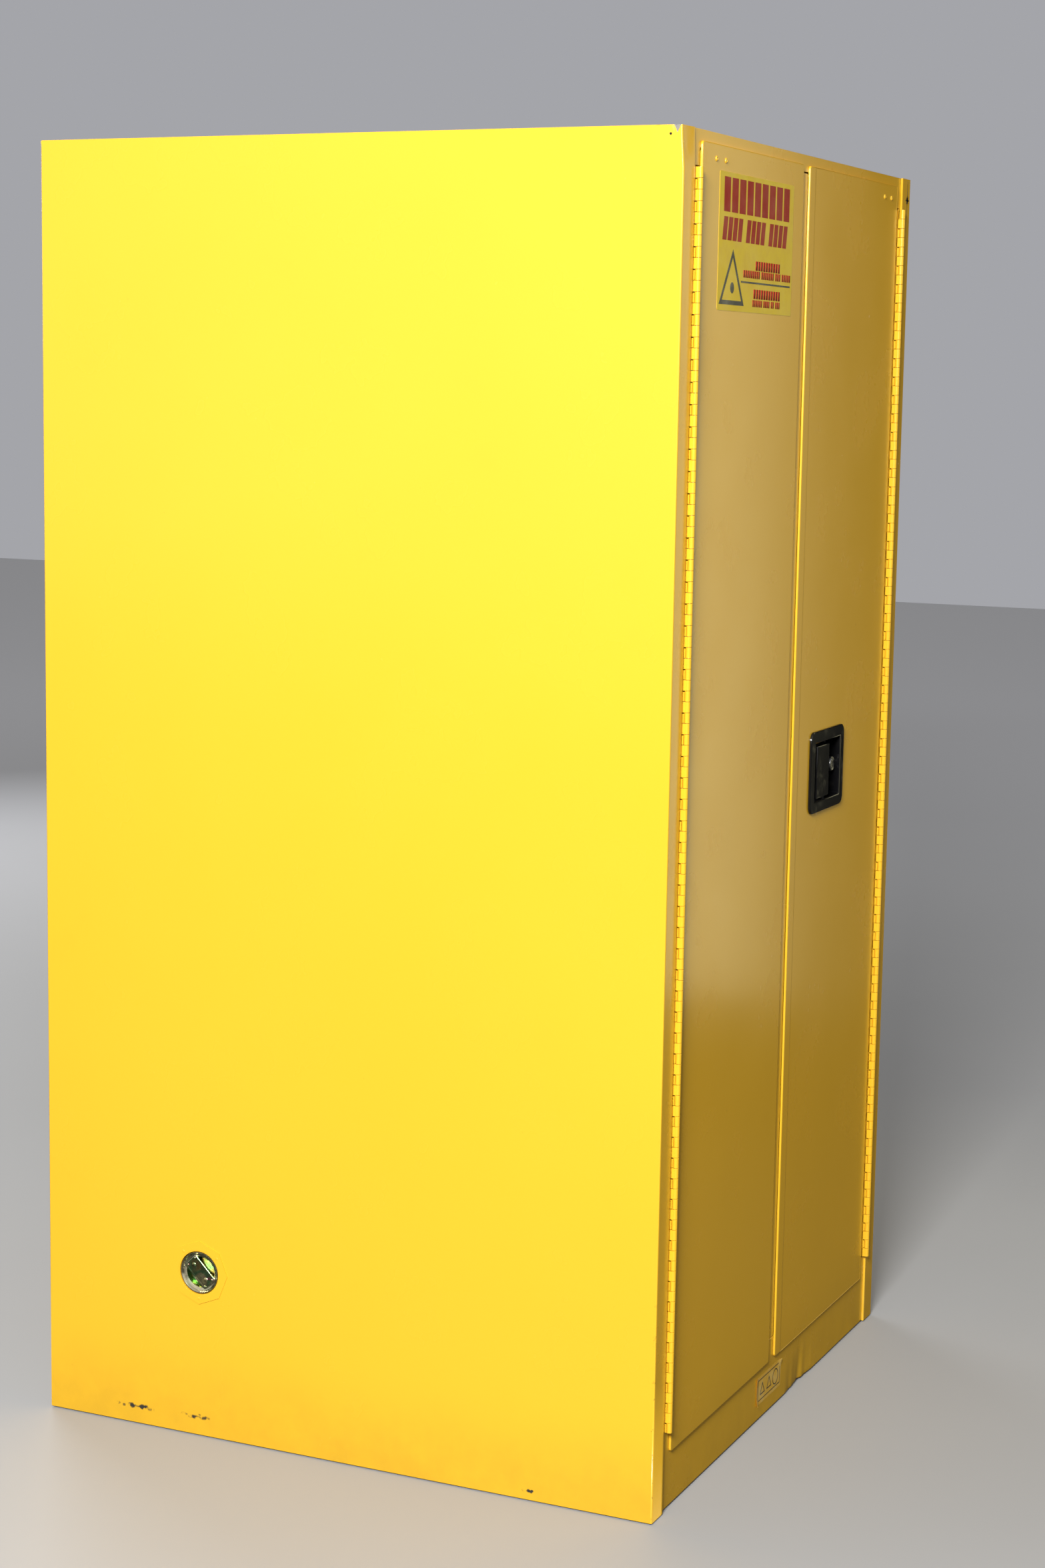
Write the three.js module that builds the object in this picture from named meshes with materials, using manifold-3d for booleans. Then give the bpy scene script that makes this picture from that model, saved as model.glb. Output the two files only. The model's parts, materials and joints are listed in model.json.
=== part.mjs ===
// Flammable-liquid safety cabinet: double-walled steel, two doors, three-point latch.
// Millimetres. +Z is up, the doors face -Y, and the origin is the middle of the footprint on the floor.

import * as THREE from "three";
import * as BufferGeometryUtils from "three/addons/utils/BufferGeometryUtils.js";
import Module from "manifold-3d";

const wasm = await Module();
wasm.setup();

// Driving dimensions of the carcass.
const WIDTH = 863.6;
const DEPTH = 863.6;
const HEIGHT = 1651;
const SHEET = 1.2;
const FIT = 0.3;
const FOOT_DROP = 2;
const AIR_GAP = 37.6;

// The front frame: stiles level with the doors, rails and grooves set back by RECESS.
const STILE = 36;
const RECESS = 3;
const BACK_RETURN = 20;
const RAIL_DEPTH = 37;
const SILL_TOP = 101.5;
const HEADER_BOTTOM = 1630;
const GROOVE_TOP = 1609.5;
const TAB_INNER = 376;
const BASE_HEIGHT = 45;
const SUMP_BOTTOM = 52;
const LINING_TOP = 1612;

// The doors.
const DOOR_EDGE = 374;
const DOOR_BOTTOM = 72.5;
const DOOR_TOP = 1638;
const DOOR_DEPTH = 39.5;
const TRAY_BOTTOM = 105;
const TRAY_TOP = 1627;
const LEFT_FREE_EDGE = -14;
const RIGHT_FREE_EDGE = 3;
const LEFT_TRAY_EDGE = -17;
const RIGHT_TRAY_EDGE = 12;
const MEETING_FLANGE_TIP = 1.5;

// The continuous hinges.
const HINGE_X = 389;
const HINGE_PROUD = 3.5;
const HINGE_BOTTOM = 103;
const HINGE_TOP = 1607.5;
const KNUCKLES = 26;
const BARREL_R = 4.1;
const PIN_R = 1.5;
const BORE_R = 2.1;
const LEAF_INNER = 2.8;
const LEAF_OUTER = 4;
const LEAF_DEPTH = 27.5;
const LEAF_START = 4.6;

// The vents, one low and one high, each closed by a screwed bung.
const VENT_Y = 202;
const LEFT_VENT_Z = 220;
const RIGHT_VENT_Z = 1431;
const VENT_HOLE_R = 30.5;
const VENT_PLATE_R = 42;
const VENT_PLATE = 1;
const VENT_TUBE_R = 30;
const VENT_BORE_R = 28.5;

// The recessed handle on the right door.
const DISH = { left: 88, right: 190, bottom: 814, top: 893, depth: 20, wall: 2 };
const FLANGE = { left: 70, right: 206, bottom: 799, top: 909, thickness: 2.5, corner: 12 };
const PADDLE = { left: 99, right: 149, bottom: 817, top: 888, front: -1.5, back: 2.5 };
const PADDLE_PIVOT = { x: 98, y: 6, boss: 4.5, bore: 1.8 };
const LOCK = { x: 176, z: 856, front: 3, housing: 10, bore: 6.3, plug: 6 };

// The latch: a cam with three pins drives a rod up, a rod down and a bolt sideways.
const CAM = { x: 48, z: 854, radius: 26, throwAngle: Math.PI / 4, crank: 20, pin: 3 };
const CAM_LAYER = { front: 31, back: 34.5 };
const ROD_LAYER = { front: 20, back: 26 };
const BOLT_LAYER = { front: 5.5, back: 10.5 };
const BOLT_HALF = 8;
const ROD_R = 4;
const SLOT_PLAY = 0.3;

// Fittings inside the cabinet.
const SHELF_HEIGHTS = { lower: 575, upper: 1095 };
const SHELF_LIP = 25;
const FOOT_PLACES = { front: -360, rear: 395, side: 395 };

const FRONT = -DEPTH / 2;
const BACK = DEPTH / 2;
const SIDE = WIDTH / 2;
const STILE_EDGE = SIDE - STILE;
const LINING_X = SIDE - SHEET - AIR_GAP;
const LINING_BACK = BACK - SHEET - AIR_GAP - FIT;
const HINGE_Y = FRONT - HINGE_PROUD;
const CRANK_RISE = CAM.crank * Math.sin(CAM.throwAngle / 2);

// ---- materials -------------------------------------------------------------------------------

const FINISHES = {
  paint: { color: 0xf2b824, roughness: 0.35, metalness: 0.1 },
  galvanised: { color: 0xb4b8ba, roughness: 0.45, metalness: 0.8 },
  steel: { color: 0x8d8f91, roughness: 0.4, metalness: 0.9 },
  chromate: { color: 0xb99a5b, roughness: 0.35, metalness: 0.85 },
  black: { color: 0x121212, roughness: 0.25, metalness: 0 },
  brass: { color: 0xb08d45, roughness: 0.5, metalness: 0.85 },
  chrome: { color: 0xc9cbcd, roughness: 0.15, metalness: 1 },
  rubber: { color: 0x1d1d1d, roughness: 0.9, metalness: 0 },
};

function finish(name) {
  return new THREE.MeshStandardMaterial(FINISHES[name]);
}

function part(name, geometry, finishName) {
  const mesh = new THREE.Mesh(geometry, finish(finishName));
  mesh.name = name;
  return mesh;
}

// ---- solids ----------------------------------------------------------------------------------

function toSolid(geometry) {
  const bare = geometry.clone();
  bare.deleteAttribute("normal");
  bare.deleteAttribute("uv");
  const merged = BufferGeometryUtils.mergeVertices(bare, 1e-4);
  return new wasm.Manifold(
    new wasm.Mesh({
      numProp: 3,
      vertProperties: new Float32Array(merged.attributes.position.array),
      triVerts: new Uint32Array(merged.index.array),
    }),
  );
}

function toGeometry(solid) {
  const mesh = solid.getMesh();
  const geometry = new THREE.BufferGeometry();
  geometry.setAttribute("position", new THREE.BufferAttribute(new Float32Array(mesh.vertProperties), 3));
  geometry.setIndex(new THREE.BufferAttribute(new Uint32Array(mesh.triVerts), 1));
  geometry.computeVertexNormals();
  return geometry;
}

function join(...geometries) {
  const solids = geometries.map(toSolid);
  return toGeometry(solids.reduce((whole, piece) => whole.add(piece)));
}

function cut(geometry, ...tools) {
  const solids = tools.map(toSolid);
  return toGeometry(solids.reduce((rest, tool) => rest.subtract(tool), toSolid(geometry)));
}

// A block between two limits on each axis.
function block(x, y, z) {
  const geometry = new THREE.BoxGeometry(x[1] - x[0], y[1] - y[0], z[1] - z[0]);
  return geometry.translate((x[0] + x[1]) / 2, (y[0] + y[1]) / 2, (z[0] + z[1]) / 2);
}

// A round bar along an axis, from one end to the other, at a place on the two other axes.
function bar(axis, radius, ends, [first, second], sides = 8) {
  const geometry = new THREE.CylinderGeometry(radius, radius, ends[1] - ends[0], sides);
  const middle = (ends[0] + ends[1]) / 2;
  if (axis === "x") return geometry.rotateZ(-Math.PI / 2).translate(middle, first, second);
  if (axis === "y") return geometry.translate(first, middle, second);
  return geometry.rotateX(Math.PI / 2).translate(first, second, middle);
}

// The section of a folded sheet: a path along one face, with the sheet on the path's right.
function foldedSection(path, thickness = SHEET) {
  const points = path.map(([x, y]) => new THREE.Vector2(x, y));
  const right = (from, to) => {
    const along = to.clone().sub(from).normalize();
    return new THREE.Vector2(along.y, -along.x);
  };
  const inner = points.map((point, i) => {
    const before = i > 0 ? right(points[i - 1], point) : null;
    const after = i < points.length - 1 ? right(point, points[i + 1]) : null;
    const offset = new THREE.Vector2();
    if (before) offset.add(before);
    if (after) offset.add(after);
    const share = before && after ? 1 + before.dot(after) : 1;
    return point.clone().addScaledVector(offset, thickness / share);
  });
  return new THREE.Shape([...points, ...inner.reverse()]);
}

function alongZ(shape, [low, high]) {
  const geometry = new THREE.ExtrudeGeometry(shape, { depth: high - low, bevelEnabled: false });
  return geometry.translate(0, 0, low);
}

// A (y, z) section along X.
function alongX(shape, [low, high]) {
  const geometry = new THREE.ExtrudeGeometry(shape, { depth: high - low, bevelEnabled: false });
  const turn = new THREE.Matrix4().makeBasis(
    new THREE.Vector3(0, 1, 0),
    new THREE.Vector3(0, 0, 1),
    new THREE.Vector3(1, 0, 0),
  );
  return geometry.applyMatrix4(turn).translate(low, 0, 0);
}

// An (x, z) section along Y.
function alongY(shape, [low, high]) {
  const geometry = new THREE.ExtrudeGeometry(shape, { depth: high - low, bevelEnabled: false });
  return geometry.rotateX(Math.PI / 2).translate(0, high, 0);
}

// A five-sided sheet tray, open towards one end of one axis.
function tray(x, y, z, open) {
  const inside = {
    x: [x[0] + SHEET, x[1] - SHEET],
    y: [y[0] + SHEET, y[1] - SHEET],
    z: [z[0] + SHEET, z[1] - SHEET],
  };
  const reach = 10;
  if (open.startsWith("-")) inside[open[1]][0] -= SHEET + reach;
  else inside[open[1]][1] += SHEET + reach;
  return cut(block(x, y, z), block(inside.x, inside.y, inside.z));
}

function mirrored(path) {
  return path.map(([x, y]) => [-x, y]).reverse();
}

// A closed turned profile of [radius, height] points about a vertical axis.
function turned(profile, sides) {
  return new THREE.LatheGeometry(profile.map(([r, z]) => new THREE.Vector2(r, z)), sides)
    .rotateX(Math.PI / 2);
}

// ---- carcass ---------------------------------------------------------------------------------

// A left-hand section as drawn, or turned over for the right-hand side.
function handed(side, path) {
  return side > 0 ? mirrored(path) : path;
}

function sidePanel(side, ventZ) {
  const wrap = [
    [-STILE_EDGE, FRONT + RECESS],
    [-STILE_EDGE, FRONT],
    [-SIDE, FRONT],
    [-SIDE, BACK],
    [-SIDE + BACK_RETURN, BACK],
  ];
  const panel = alongZ(foldedSection(handed(side, wrap)), [FOOT_DROP, HEIGHT]);
  const hole = bar("x", VENT_HOLE_R, ventSpan(side, SIDE - 5, SIDE + 5), [VENT_Y, ventZ], 16);
  return cut(panel, hole);
}

function ventSpan(side, near, far) {
  return side > 0 ? [near, far] : [-far, -near];
}

function jamb(side) {
  const behindStile = SIDE - 2 * SHEET - 2 * FIT;
  const web = LINING_X + FIT;
  const path = [
    [-behindStile, FRONT + RECESS + FIT],
    [-web, FRONT + RECESS + FIT],
    [-web, FRONT + RAIL_DEPTH + 9],
  ];
  // The path runs along the front and the inner face, so its sheet lies behind it.
  return alongZ(foldedSection(handed(side, [...path].reverse())), [SILL_TOP + FIT, GROOVE_TOP - FIT]);
}

function liningWall(side, ventZ) {
  const x = side > 0 ? [LINING_X - SHEET, LINING_X] : [-LINING_X, -LINING_X + SHEET];
  const wall = block(x, [FRONT + RECESS + RAIL_DEPTH + FIT, LINING_BACK], [SUMP_BOTTOM, LINING_TOP]);
  const hole = bar("x", VENT_HOLE_R, [x[0] - 5, x[1] + 5], [VENT_Y, ventZ], 16);
  return cut(wall, hole);
}

function headerRail() {
  const back = FRONT + RECESS + RAIL_DEPTH;
  const top = HEIGHT - SHEET - FIT;
  const path = [
    [back, top],
    [back, HEADER_BOTTOM],
    [FRONT + RECESS, HEADER_BOTTOM],
    [FRONT + RECESS, top],
  ];
  const end = STILE_EDGE - FIT;
  const channel = alongX(foldedSection(path), [-end, end]);
  const face = [FRONT + RECESS, FRONT + RECESS + SHEET];
  const tabHeight = [GROOVE_TOP, HEADER_BOTTOM + SHEET];
  const rodHole = bar("z", ROD_R + 1.2, [HEADER_BOTTOM - 5, HEADER_BOTTOM + 5], rodPlace(1), 12);
  const whole = join(channel, block([-end, -TAB_INNER], face, tabHeight), block([TAB_INNER, end], face, tabHeight));
  return cut(whole, rodHole);
}

function kickRail() {
  const path = [
    [FRONT + RAIL_DEPTH - 7, FOOT_DROP],
    [FRONT + RECESS, FOOT_DROP],
    [FRONT + RECESS, SILL_TOP],
    [FRONT + RECESS + RAIL_DEPTH, SILL_TOP],
  ];
  const end = STILE_EDGE - FIT;
  const rodHole = bar("z", ROD_R + 1.2, [SILL_TOP - 5, SILL_TOP + 5], rodPlace(-1), 12);
  return cut(alongX(foldedSection(path), [-end, end]), rodHole);
}

function topPanel() {
  const edge = SIDE - SHEET - FIT;
  const path = [
    [-edge, HEADER_BOTTOM],
    [-edge, HEIGHT],
    [edge, HEIGHT],
    [edge, HEADER_BOTTOM],
  ];
  return alongY(foldedSection(path), [FRONT + RECESS + FIT, BACK - SHEET - FIT]);
}

function shelfBracket(side, shelfZ) {
  const wall = LINING_X - SHEET - FIT;
  const seat = shelfZ - FIT;
  const path = [
    [-wall, seat - 40],
    [-wall, seat],
    [-wall + 22, seat],
  ];
  return alongY(foldedSection(handed(side, path)), [-250, 350]);
}

function levellingFoot(x, y) {
  const profile = [
    [0, 0],
    [20, 0],
    [20, 6],
    [8, 10],
    [8, 18],
    [5, 18],
    [5, BASE_HEIGHT - FIT],
    [0, BASE_HEIGHT - FIT],
  ];
  return turned(profile, 12).translate(x, y, 0);
}

function groundStud() {
  const profile = [
    [0, BACK - SHEET],
    [9, BACK - SHEET],
    [9, BACK + 0.4],
    [6.5, BACK + 0.4],
    [6.5, BACK + 5],
    [4, BACK + 5],
    [4, BACK + HINGE_PROUD + BARREL_R],
    [0, BACK + HINGE_PROUD + BARREL_R],
  ];
  return turned(profile, 6).rotateX(-Math.PI / 2).translate(-350, 0, 120);
}

function carcass() {
  const group = new THREE.Group();
  const inside = SIDE - 2 * SHEET - 2 * FIT;
  const sumpX = LINING_X - SHEET - FIT;
  const railBack = FRONT + RECESS + RAIL_DEPTH + FIT;
  group.add(
    part("left_side_panel", sidePanel(-1, LEFT_VENT_Z), "paint"),
    part("right_side_panel", sidePanel(1, RIGHT_VENT_Z), "paint"),
    part("back_panel", block([-inside, inside], [BACK - 2 * SHEET - FIT, BACK - SHEET - FIT],
      [FOOT_DROP, HEIGHT - SHEET - FIT]), "paint"),
    part("top_panel", topPanel(), "paint"),
    part("header_rail", headerRail(), "paint"),
    part("kick_rail", kickRail(), "paint"),
    part("base_pan", tray([-inside, inside], [railBack, BACK - 2 * SHEET - 2 * FIT],
      [BASE_HEIGHT - 20, BASE_HEIGHT + SHEET], "-z"), "paint"),
    part("left_jamb", jamb(-1), "paint"),
    part("right_jamb", jamb(1), "paint"),
    part("left_lining_wall", liningWall(-1, LEFT_VENT_Z), "paint"),
    part("right_lining_wall", liningWall(1, RIGHT_VENT_Z), "paint"),
    part("rear_lining_wall", block([-sumpX, sumpX], [LINING_BACK - SHEET, LINING_BACK],
      [SUMP_BOTTOM, LINING_TOP]), "paint"),
    part("lining_roof", block([-LINING_X, LINING_X], [railBack, LINING_BACK],
      [LINING_TOP + FIT, LINING_TOP + FIT + SHEET]), "paint"),
    part("sump_tray", tray([-sumpX, sumpX], [railBack, LINING_BACK - SHEET - FIT],
      [SUMP_BOTTOM, SILL_TOP], "+z"), "paint"),
    part("ground_stud", groundStud(), "chromate"),
  );
  for (const [level, z] of Object.entries(SHELF_HEIGHTS)) {
    const shelfX = sumpX - 3;
    group.add(
      part(`left_bracket_${level}`, shelfBracket(-1, z), "galvanised"),
      part(`right_bracket_${level}`, shelfBracket(1, z), "galvanised"),
      part(`shelf_${level}`, tray([-shelfX, shelfX], [FRONT + 55, LINING_BACK - 5],
        [z, z + SHELF_LIP], "+z"), "galvanised"),
    );
  }
  for (const [sideName, x] of [["left", -FOOT_PLACES.side], ["right", FOOT_PLACES.side]]) {
    group.add(
      part(`foot_${sideName}_front`, levellingFoot(x, FOOT_PLACES.front), "rubber"),
      part(`foot_${sideName}_rear`, levellingFoot(x, FOOT_PLACES.rear), "rubber"),
    );
  }
  return group;
}

// ---- vents -----------------------------------------------------------------------------------

// Each vent is made with its axis along +Z, outward end up at the panel's face, then turned.
function ventHousing() {
  const tubeLength = AIR_GAP + 3 * SHEET;
  const plate = bar("z", VENT_PLATE_R, [FIT, FIT + VENT_PLATE], [0, 0], 8);
  const tube = bar("z", VENT_TUBE_R, [-tubeLength, FIT + VENT_PLATE], [0, 0], 16);
  const bore = bar("z", VENT_BORE_R, [-tubeLength - 1, FIT + VENT_PLATE + 1], [0, 0], 16);
  return cut(join(plate, tube), bore);
}

function ventBung() {
  const bowl = [
    [0, -11.5],
    [20, -11.5],
    [22, -4],
    [26, -4],
    [26, -14],
    [27.6, -14],
    [27.6, 0.8],
    [24.6, 0.8],
    [24.2, -2],
    [20.6, -2.5],
    [18.6, -10],
    [0, -10],
  ];
  const handleBar = block([-12, 12], [-20.5, 20.5], [-10.5, 0]).rotateZ(-Math.PI / 4);
  return join(turned(bowl, 16), handleBar);
}

function flameScreen() {
  const tubeLength = AIR_GAP + 3 * SHEET;
  return bar("z", VENT_BORE_R - 0.9, [-tubeLength + 0.5, -tubeLength + 1.5], [0, 0], 16);
}

function vents() {
  const group = new THREE.Group();
  const places = [["left", -1, LEFT_VENT_Z], ["right", 1, RIGHT_VENT_Z]];
  for (const [sideName, side, z] of places) {
    const vent = new THREE.Group();
    vent.position.set(side * SIDE, VENT_Y, z);
    vent.rotation.y = side * Math.PI / 2;
    vent.add(
      part(`${sideName}_vent_housing`, ventHousing(), "paint"),
      part(`${sideName}_vent_bung`, ventBung(), "chromate"),
      part(`${sideName}_flame_screen`, flameScreen(), "brass"),
    );
    group.add(vent);
  }
  return group;
}

// ---- hinges ----------------------------------------------------------------------------------

// A leaf with its barrel on the group's axis: side is where the plate lies, first is its lowest knuckle.
function hingeLeaf(side, first) {
  const length = HINGE_TOP - HINGE_BOTTOM;
  const pitch = length / KNUCKLES;
  const plateX = side > 0 ? [LEAF_INNER, LEAF_OUTER] : [-LEAF_OUTER, -LEAF_INNER];
  const plate = block(plateX, [LEAF_START, LEAF_DEPTH], [0, length]);
  const pieces = [plate];
  for (let i = first; i < KNUCKLES; i += 2) {
    const span = [i * pitch + FIT / 2, (i + 1) * pitch - FIT / 2];
    pieces.push(bar("z", BARREL_R, span, [0, 0], 8));
    pieces.push(block(plateX, [0, LEAF_START + 1], span));
  }
  return cut(join(...pieces), bar("z", BORE_R, [-1, length + 1], [0, 0], 6));
}

function hinges() {
  const group = new THREE.Group();
  for (const [sideName, side] of [["left", -1], ["right", 1]]) {
    const hinge = new THREE.Group();
    hinge.position.set(side * HINGE_X, HINGE_Y, HINGE_BOTTOM);
    hinge.add(
      part(`${sideName}_hinge_frame_leaf`, hingeLeaf(side, 1), "paint"),
      part(`${sideName}_hinge_door_leaf`, hingeLeaf(-side, 0), "paint"),
      part(`${sideName}_hinge_pin`, bar("z", PIN_R, [0, HINGE_TOP - HINGE_BOTTOM], [0, 0], 8), "steel"),
    );
    group.add(hinge);
  }
  return group;
}

// ---- doors -----------------------------------------------------------------------------------

function doorPan(x) {
  const y = [FRONT, FRONT + RECESS - FIT];
  return tray(x, y, [DOOR_BOTTOM, DOOR_TOP], "+y");
}

function leftDoorFace() {
  const pan = doorPan([-DOOR_EDGE, LEFT_FREE_EDGE]);
  const height = [TRAY_BOTTOM - 2, TRAY_TOP + 1];
  const step = block([LEFT_FREE_EDGE - SHEET, LEFT_FREE_EDGE], [FRONT + 1, FRONT + RECESS + SHEET], height);
  const flange = block([LEFT_FREE_EDGE - SHEET, MEETING_FLANGE_TIP], [FRONT + RECESS, FRONT + RECESS + SHEET], height);
  return join(pan, step, flange);
}

// The right-hand face: the band of it between two heights, open where the handle goes in.
function rightDoorFace(band) {
  const pan = doorPan([RIGHT_FREE_EDGE, DOOR_EDGE]);
  const across = [RIGHT_FREE_EDGE - 5, DOOR_EDGE + 5];
  const through = [FRONT - 5, FRONT + 10];
  const gap = DISH.wall + 0.5;
  const opening = block(
    [DISH.left - gap, DISH.right + gap],
    through,
    [DISH.bottom - gap, DISH.top + gap],
  );
  const below = block(across, through, [DOOR_BOTTOM - 5, band[0]]);
  const above = block(across, through, [band[1], DOOR_TOP + 5]);
  return cut(pan, opening, below, above);
}

function doorTray(x) {
  return tray(x, [FRONT + SHEET + FIT, FRONT + DOOR_DEPTH], [TRAY_BOTTOM, TRAY_TOP], "-y");
}

function rightDoorTray() {
  const whole = doorTray([RIGHT_TRAY_EDGE, DOOR_EDGE - 1.5]);
  const topHole = bar("z", ROD_R + 1, [TRAY_TOP - 5, TRAY_TOP + 5], rodPlace(1), 12);
  const bottomHole = bar("z", ROD_R + 1, [TRAY_BOTTOM - 5, TRAY_BOTTOM + 5], rodPlace(-1), 12);
  const boltSlot = block(
    [RIGHT_TRAY_EDGE - 2, RIGHT_TRAY_EDGE + 4],
    [FRONT + BOLT_LAYER.front - 0.5, FRONT + BOLT_LAYER.back + 0.5],
    [boltZ() - BOLT_HALF - 0.5, boltZ() + BOLT_HALF + 0.5],
  );
  return cut(whole, topHole, bottomHole, boltSlot);
}

// The channel on the door's hinge edge, at the groove's depth, that carries the hinge leaf.
function hingeChannel(side) {
  const near = DOOR_EDGE - SHEET;
  const far = HINGE_X - LEAF_OUTER - FIT;
  const path = [
    [-near, FRONT + RECESS],
    [-far, FRONT + RECESS],
    [-far, FRONT + DOOR_DEPTH],
    [-near, FRONT + DOOR_DEPTH],
  ];
  return alongZ(foldedSection(handed(side, path)), [TRAY_BOTTOM - 1, GROOVE_TOP - 3.5]);
}

function stayBracket(x) {
  const path = [
    [FRONT + SHEET + FIT, TRAY_TOP - 30],
    [FRONT + SHEET + FIT, TRAY_TOP - SHEET - FIT],
    [FRONT + SHEET + 24, TRAY_TOP - SHEET - FIT],
  ];
  return alongX(foldedSection(path, 2.5), [x - 30, x + 30]);
}

function doors() {
  const group = new THREE.Group();
  group.add(
    part("left_door_face", leftDoorFace(), "paint"),
    part("left_door_tray", doorTray([-DOOR_EDGE + 1.5, LEFT_TRAY_EDGE]), "paint"),
    part("left_door_channel", hingeChannel(-1), "paint"),
    part("left_stay_bracket", stayBracket(-314.5), "galvanised"),
    part("right_door_face_lower", rightDoorFace([DOOR_BOTTOM, FLANGE.bottom - FIT]), "paint"),
    part("right_door_face_middle", rightDoorFace([FLANGE.bottom, FLANGE.top]), "paint"),
    part("right_door_face_upper", rightDoorFace([FLANGE.top + FIT, DOOR_TOP]), "paint"),
    part("right_door_tray", rightDoorTray(), "paint"),
    part("right_door_channel", hingeChannel(1), "paint"),
    part("right_stay_bracket", stayBracket(332), "galvanised"),
  );
  return group;
}

// ---- handle ----------------------------------------------------------------------------------

function roundedRectangle(left, right, bottom, top, corner) {
  const shape = new THREE.Shape();
  shape.absarc(right - corner, top - corner, corner, 0, Math.PI / 2);
  shape.absarc(left + corner, top - corner, corner, Math.PI / 2, Math.PI);
  shape.absarc(left + corner, bottom + corner, corner, Math.PI, Math.PI * 1.5);
  shape.absarc(right - corner, bottom + corner, corner, Math.PI * 1.5, Math.PI * 2);
  return shape;
}

function handleDish() {
  const outline = roundedRectangle(FLANGE.left, FLANGE.right, FLANGE.bottom, FLANGE.top, FLANGE.corner);
  const flange = new THREE.ExtrudeGeometry(outline, {
    depth: FLANGE.thickness,
    bevelEnabled: false,
    curveSegments: 2,
  });
  flange.rotateX(Math.PI / 2).translate(0, FRONT - FIT, 0);
  const shell = block(
    [DISH.left - DISH.wall, DISH.right + DISH.wall],
    [FRONT - 1, FRONT + DISH.depth + DISH.wall],
    [DISH.bottom - DISH.wall, DISH.top + DISH.wall],
  );
  const hollow = block([DISH.left, DISH.right], [FRONT - 10, FRONT + DISH.depth], [DISH.bottom, DISH.top]);
  return cut(join(flange, shell), hollow);
}

function paddle() {
  const plate = block(
    [PADDLE.left, PADDLE.right],
    [FRONT + PADDLE.front, FRONT + PADDLE.back],
    [PADDLE.bottom, PADDLE.top],
  );
  const lip = block(
    [PADDLE.right - 3, PADDLE.right],
    [FRONT + PADDLE.front, FRONT + PADDLE.back + 4],
    [PADDLE.bottom, PADDLE.top],
  );
  const place = [PADDLE_PIVOT.x, FRONT + PADDLE_PIVOT.y];
  const boss = bar("z", PADDLE_PIVOT.boss, [PADDLE.bottom, PADDLE.top], place, 8);
  const bore = bar("z", PADDLE_PIVOT.bore, [PADDLE.bottom - 1, PADDLE.top + 1], place, 8);
  const springGap = block(
    [place[0] - 6, place[0] + 6],
    [place[1] - 3.4, place[1] + 6],
    [LOCK.z - 11, LOCK.z + 5],
  );
  return cut(join(plate, lip, boss), bore, springGap);
}

function paddleSpring() {
  const place = [PADDLE_PIVOT.x, FRONT + PADDLE_PIVOT.y];
  const coil = bar("z", 3.1, [LOCK.z - 10, LOCK.z + 4], place, 8);
  return cut(coil, bar("z", PADDLE_PIVOT.bore, [LOCK.z - 12, LOCK.z + 6], place, 8));
}

function lockHousing() {
  const ends = [FRONT + LOCK.front, FRONT + DISH.depth - FIT];
  const place = [LOCK.x, LOCK.z];
  const bore = bar("y", LOCK.bore, [ends[0] - 1, ends[1] + 1], place, 16);
  return cut(bar("y", LOCK.housing, ends, place, 16), bore);
}

function lockPlug() {
  const ends = [FRONT + LOCK.front + 0.5, FRONT + DISH.depth - 2 * FIT];
  const slot = block([LOCK.x - 0.8, LOCK.x + 0.8], [ends[0] - 1, ends[0] + 6], [LOCK.z - 4, LOCK.z + 4]);
  return cut(bar("y", LOCK.plug, ends, [LOCK.x, LOCK.z], 16), slot);
}

function handle() {
  const group = new THREE.Group();
  const pinPlace = [PADDLE_PIVOT.x, FRONT + PADDLE_PIVOT.y];
  const pinEnds = [DISH.bottom + FIT, DISH.top - FIT];
  group.add(
    part("handle_dish", handleDish(), "black"),
    part("paddle", paddle(), "black"),
    part("paddle_pin", bar("z", PIN_R, pinEnds, pinPlace, 8), "steel"),
    part("paddle_spring", paddleSpring(), "steel"),
    part("lock_housing", lockHousing(), "chrome"),
    part("lock_plug", lockPlug(), "chrome"),
  );
  return group;
}

// ---- latch -----------------------------------------------------------------------------------

// Where a rod runs: the upper rod (1) on the cam's right, the lower rod (-1) on its left.
function rodPlace(direction) {
  return [CAM.x + direction * CAM.crank, FRONT + (ROD_LAYER.front + ROD_LAYER.back) / 2];
}

// The bolt's pin starts a half throw before the top of the cam, so the bolt sits at its mean height.
function boltZ() {
  const low = CAM.crank * Math.cos(CAM.throwAngle / 2);
  return CAM.z + (low + CAM.crank) / 2;
}

function latchCam() {
  const layer = [FRONT + CAM_LAYER.front, FRONT + CAM_LAYER.back];
  const disc = bar("y", CAM.radius, layer, [CAM.x, CAM.z], 20);
  const crankX = CAM.crank * Math.cos(CAM.throwAngle / 2);
  const rodPinEnds = [FRONT + ROD_LAYER.front - 1, layer[0] + 1];
  const boltPinEnds = [FRONT + BOLT_LAYER.front - 1, layer[0] + 1];
  const upper = bar("y", CAM.pin, rodPinEnds, [CAM.x + crankX, CAM.z - CRANK_RISE]);
  const lower = bar("y", CAM.pin, rodPinEnds, [CAM.x - crankX, CAM.z + CRANK_RISE]);
  const bolt = bar("y", CAM.pin, boltPinEnds, [CAM.x + CRANK_RISE, CAM.z + crankX]);
  const bore = bar("y", 4.4, [layer[0] - 2, layer[1] + 2], [CAM.x, CAM.z], 12);
  return cut(join(disc, upper, lower, bolt), bore);
}

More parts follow.
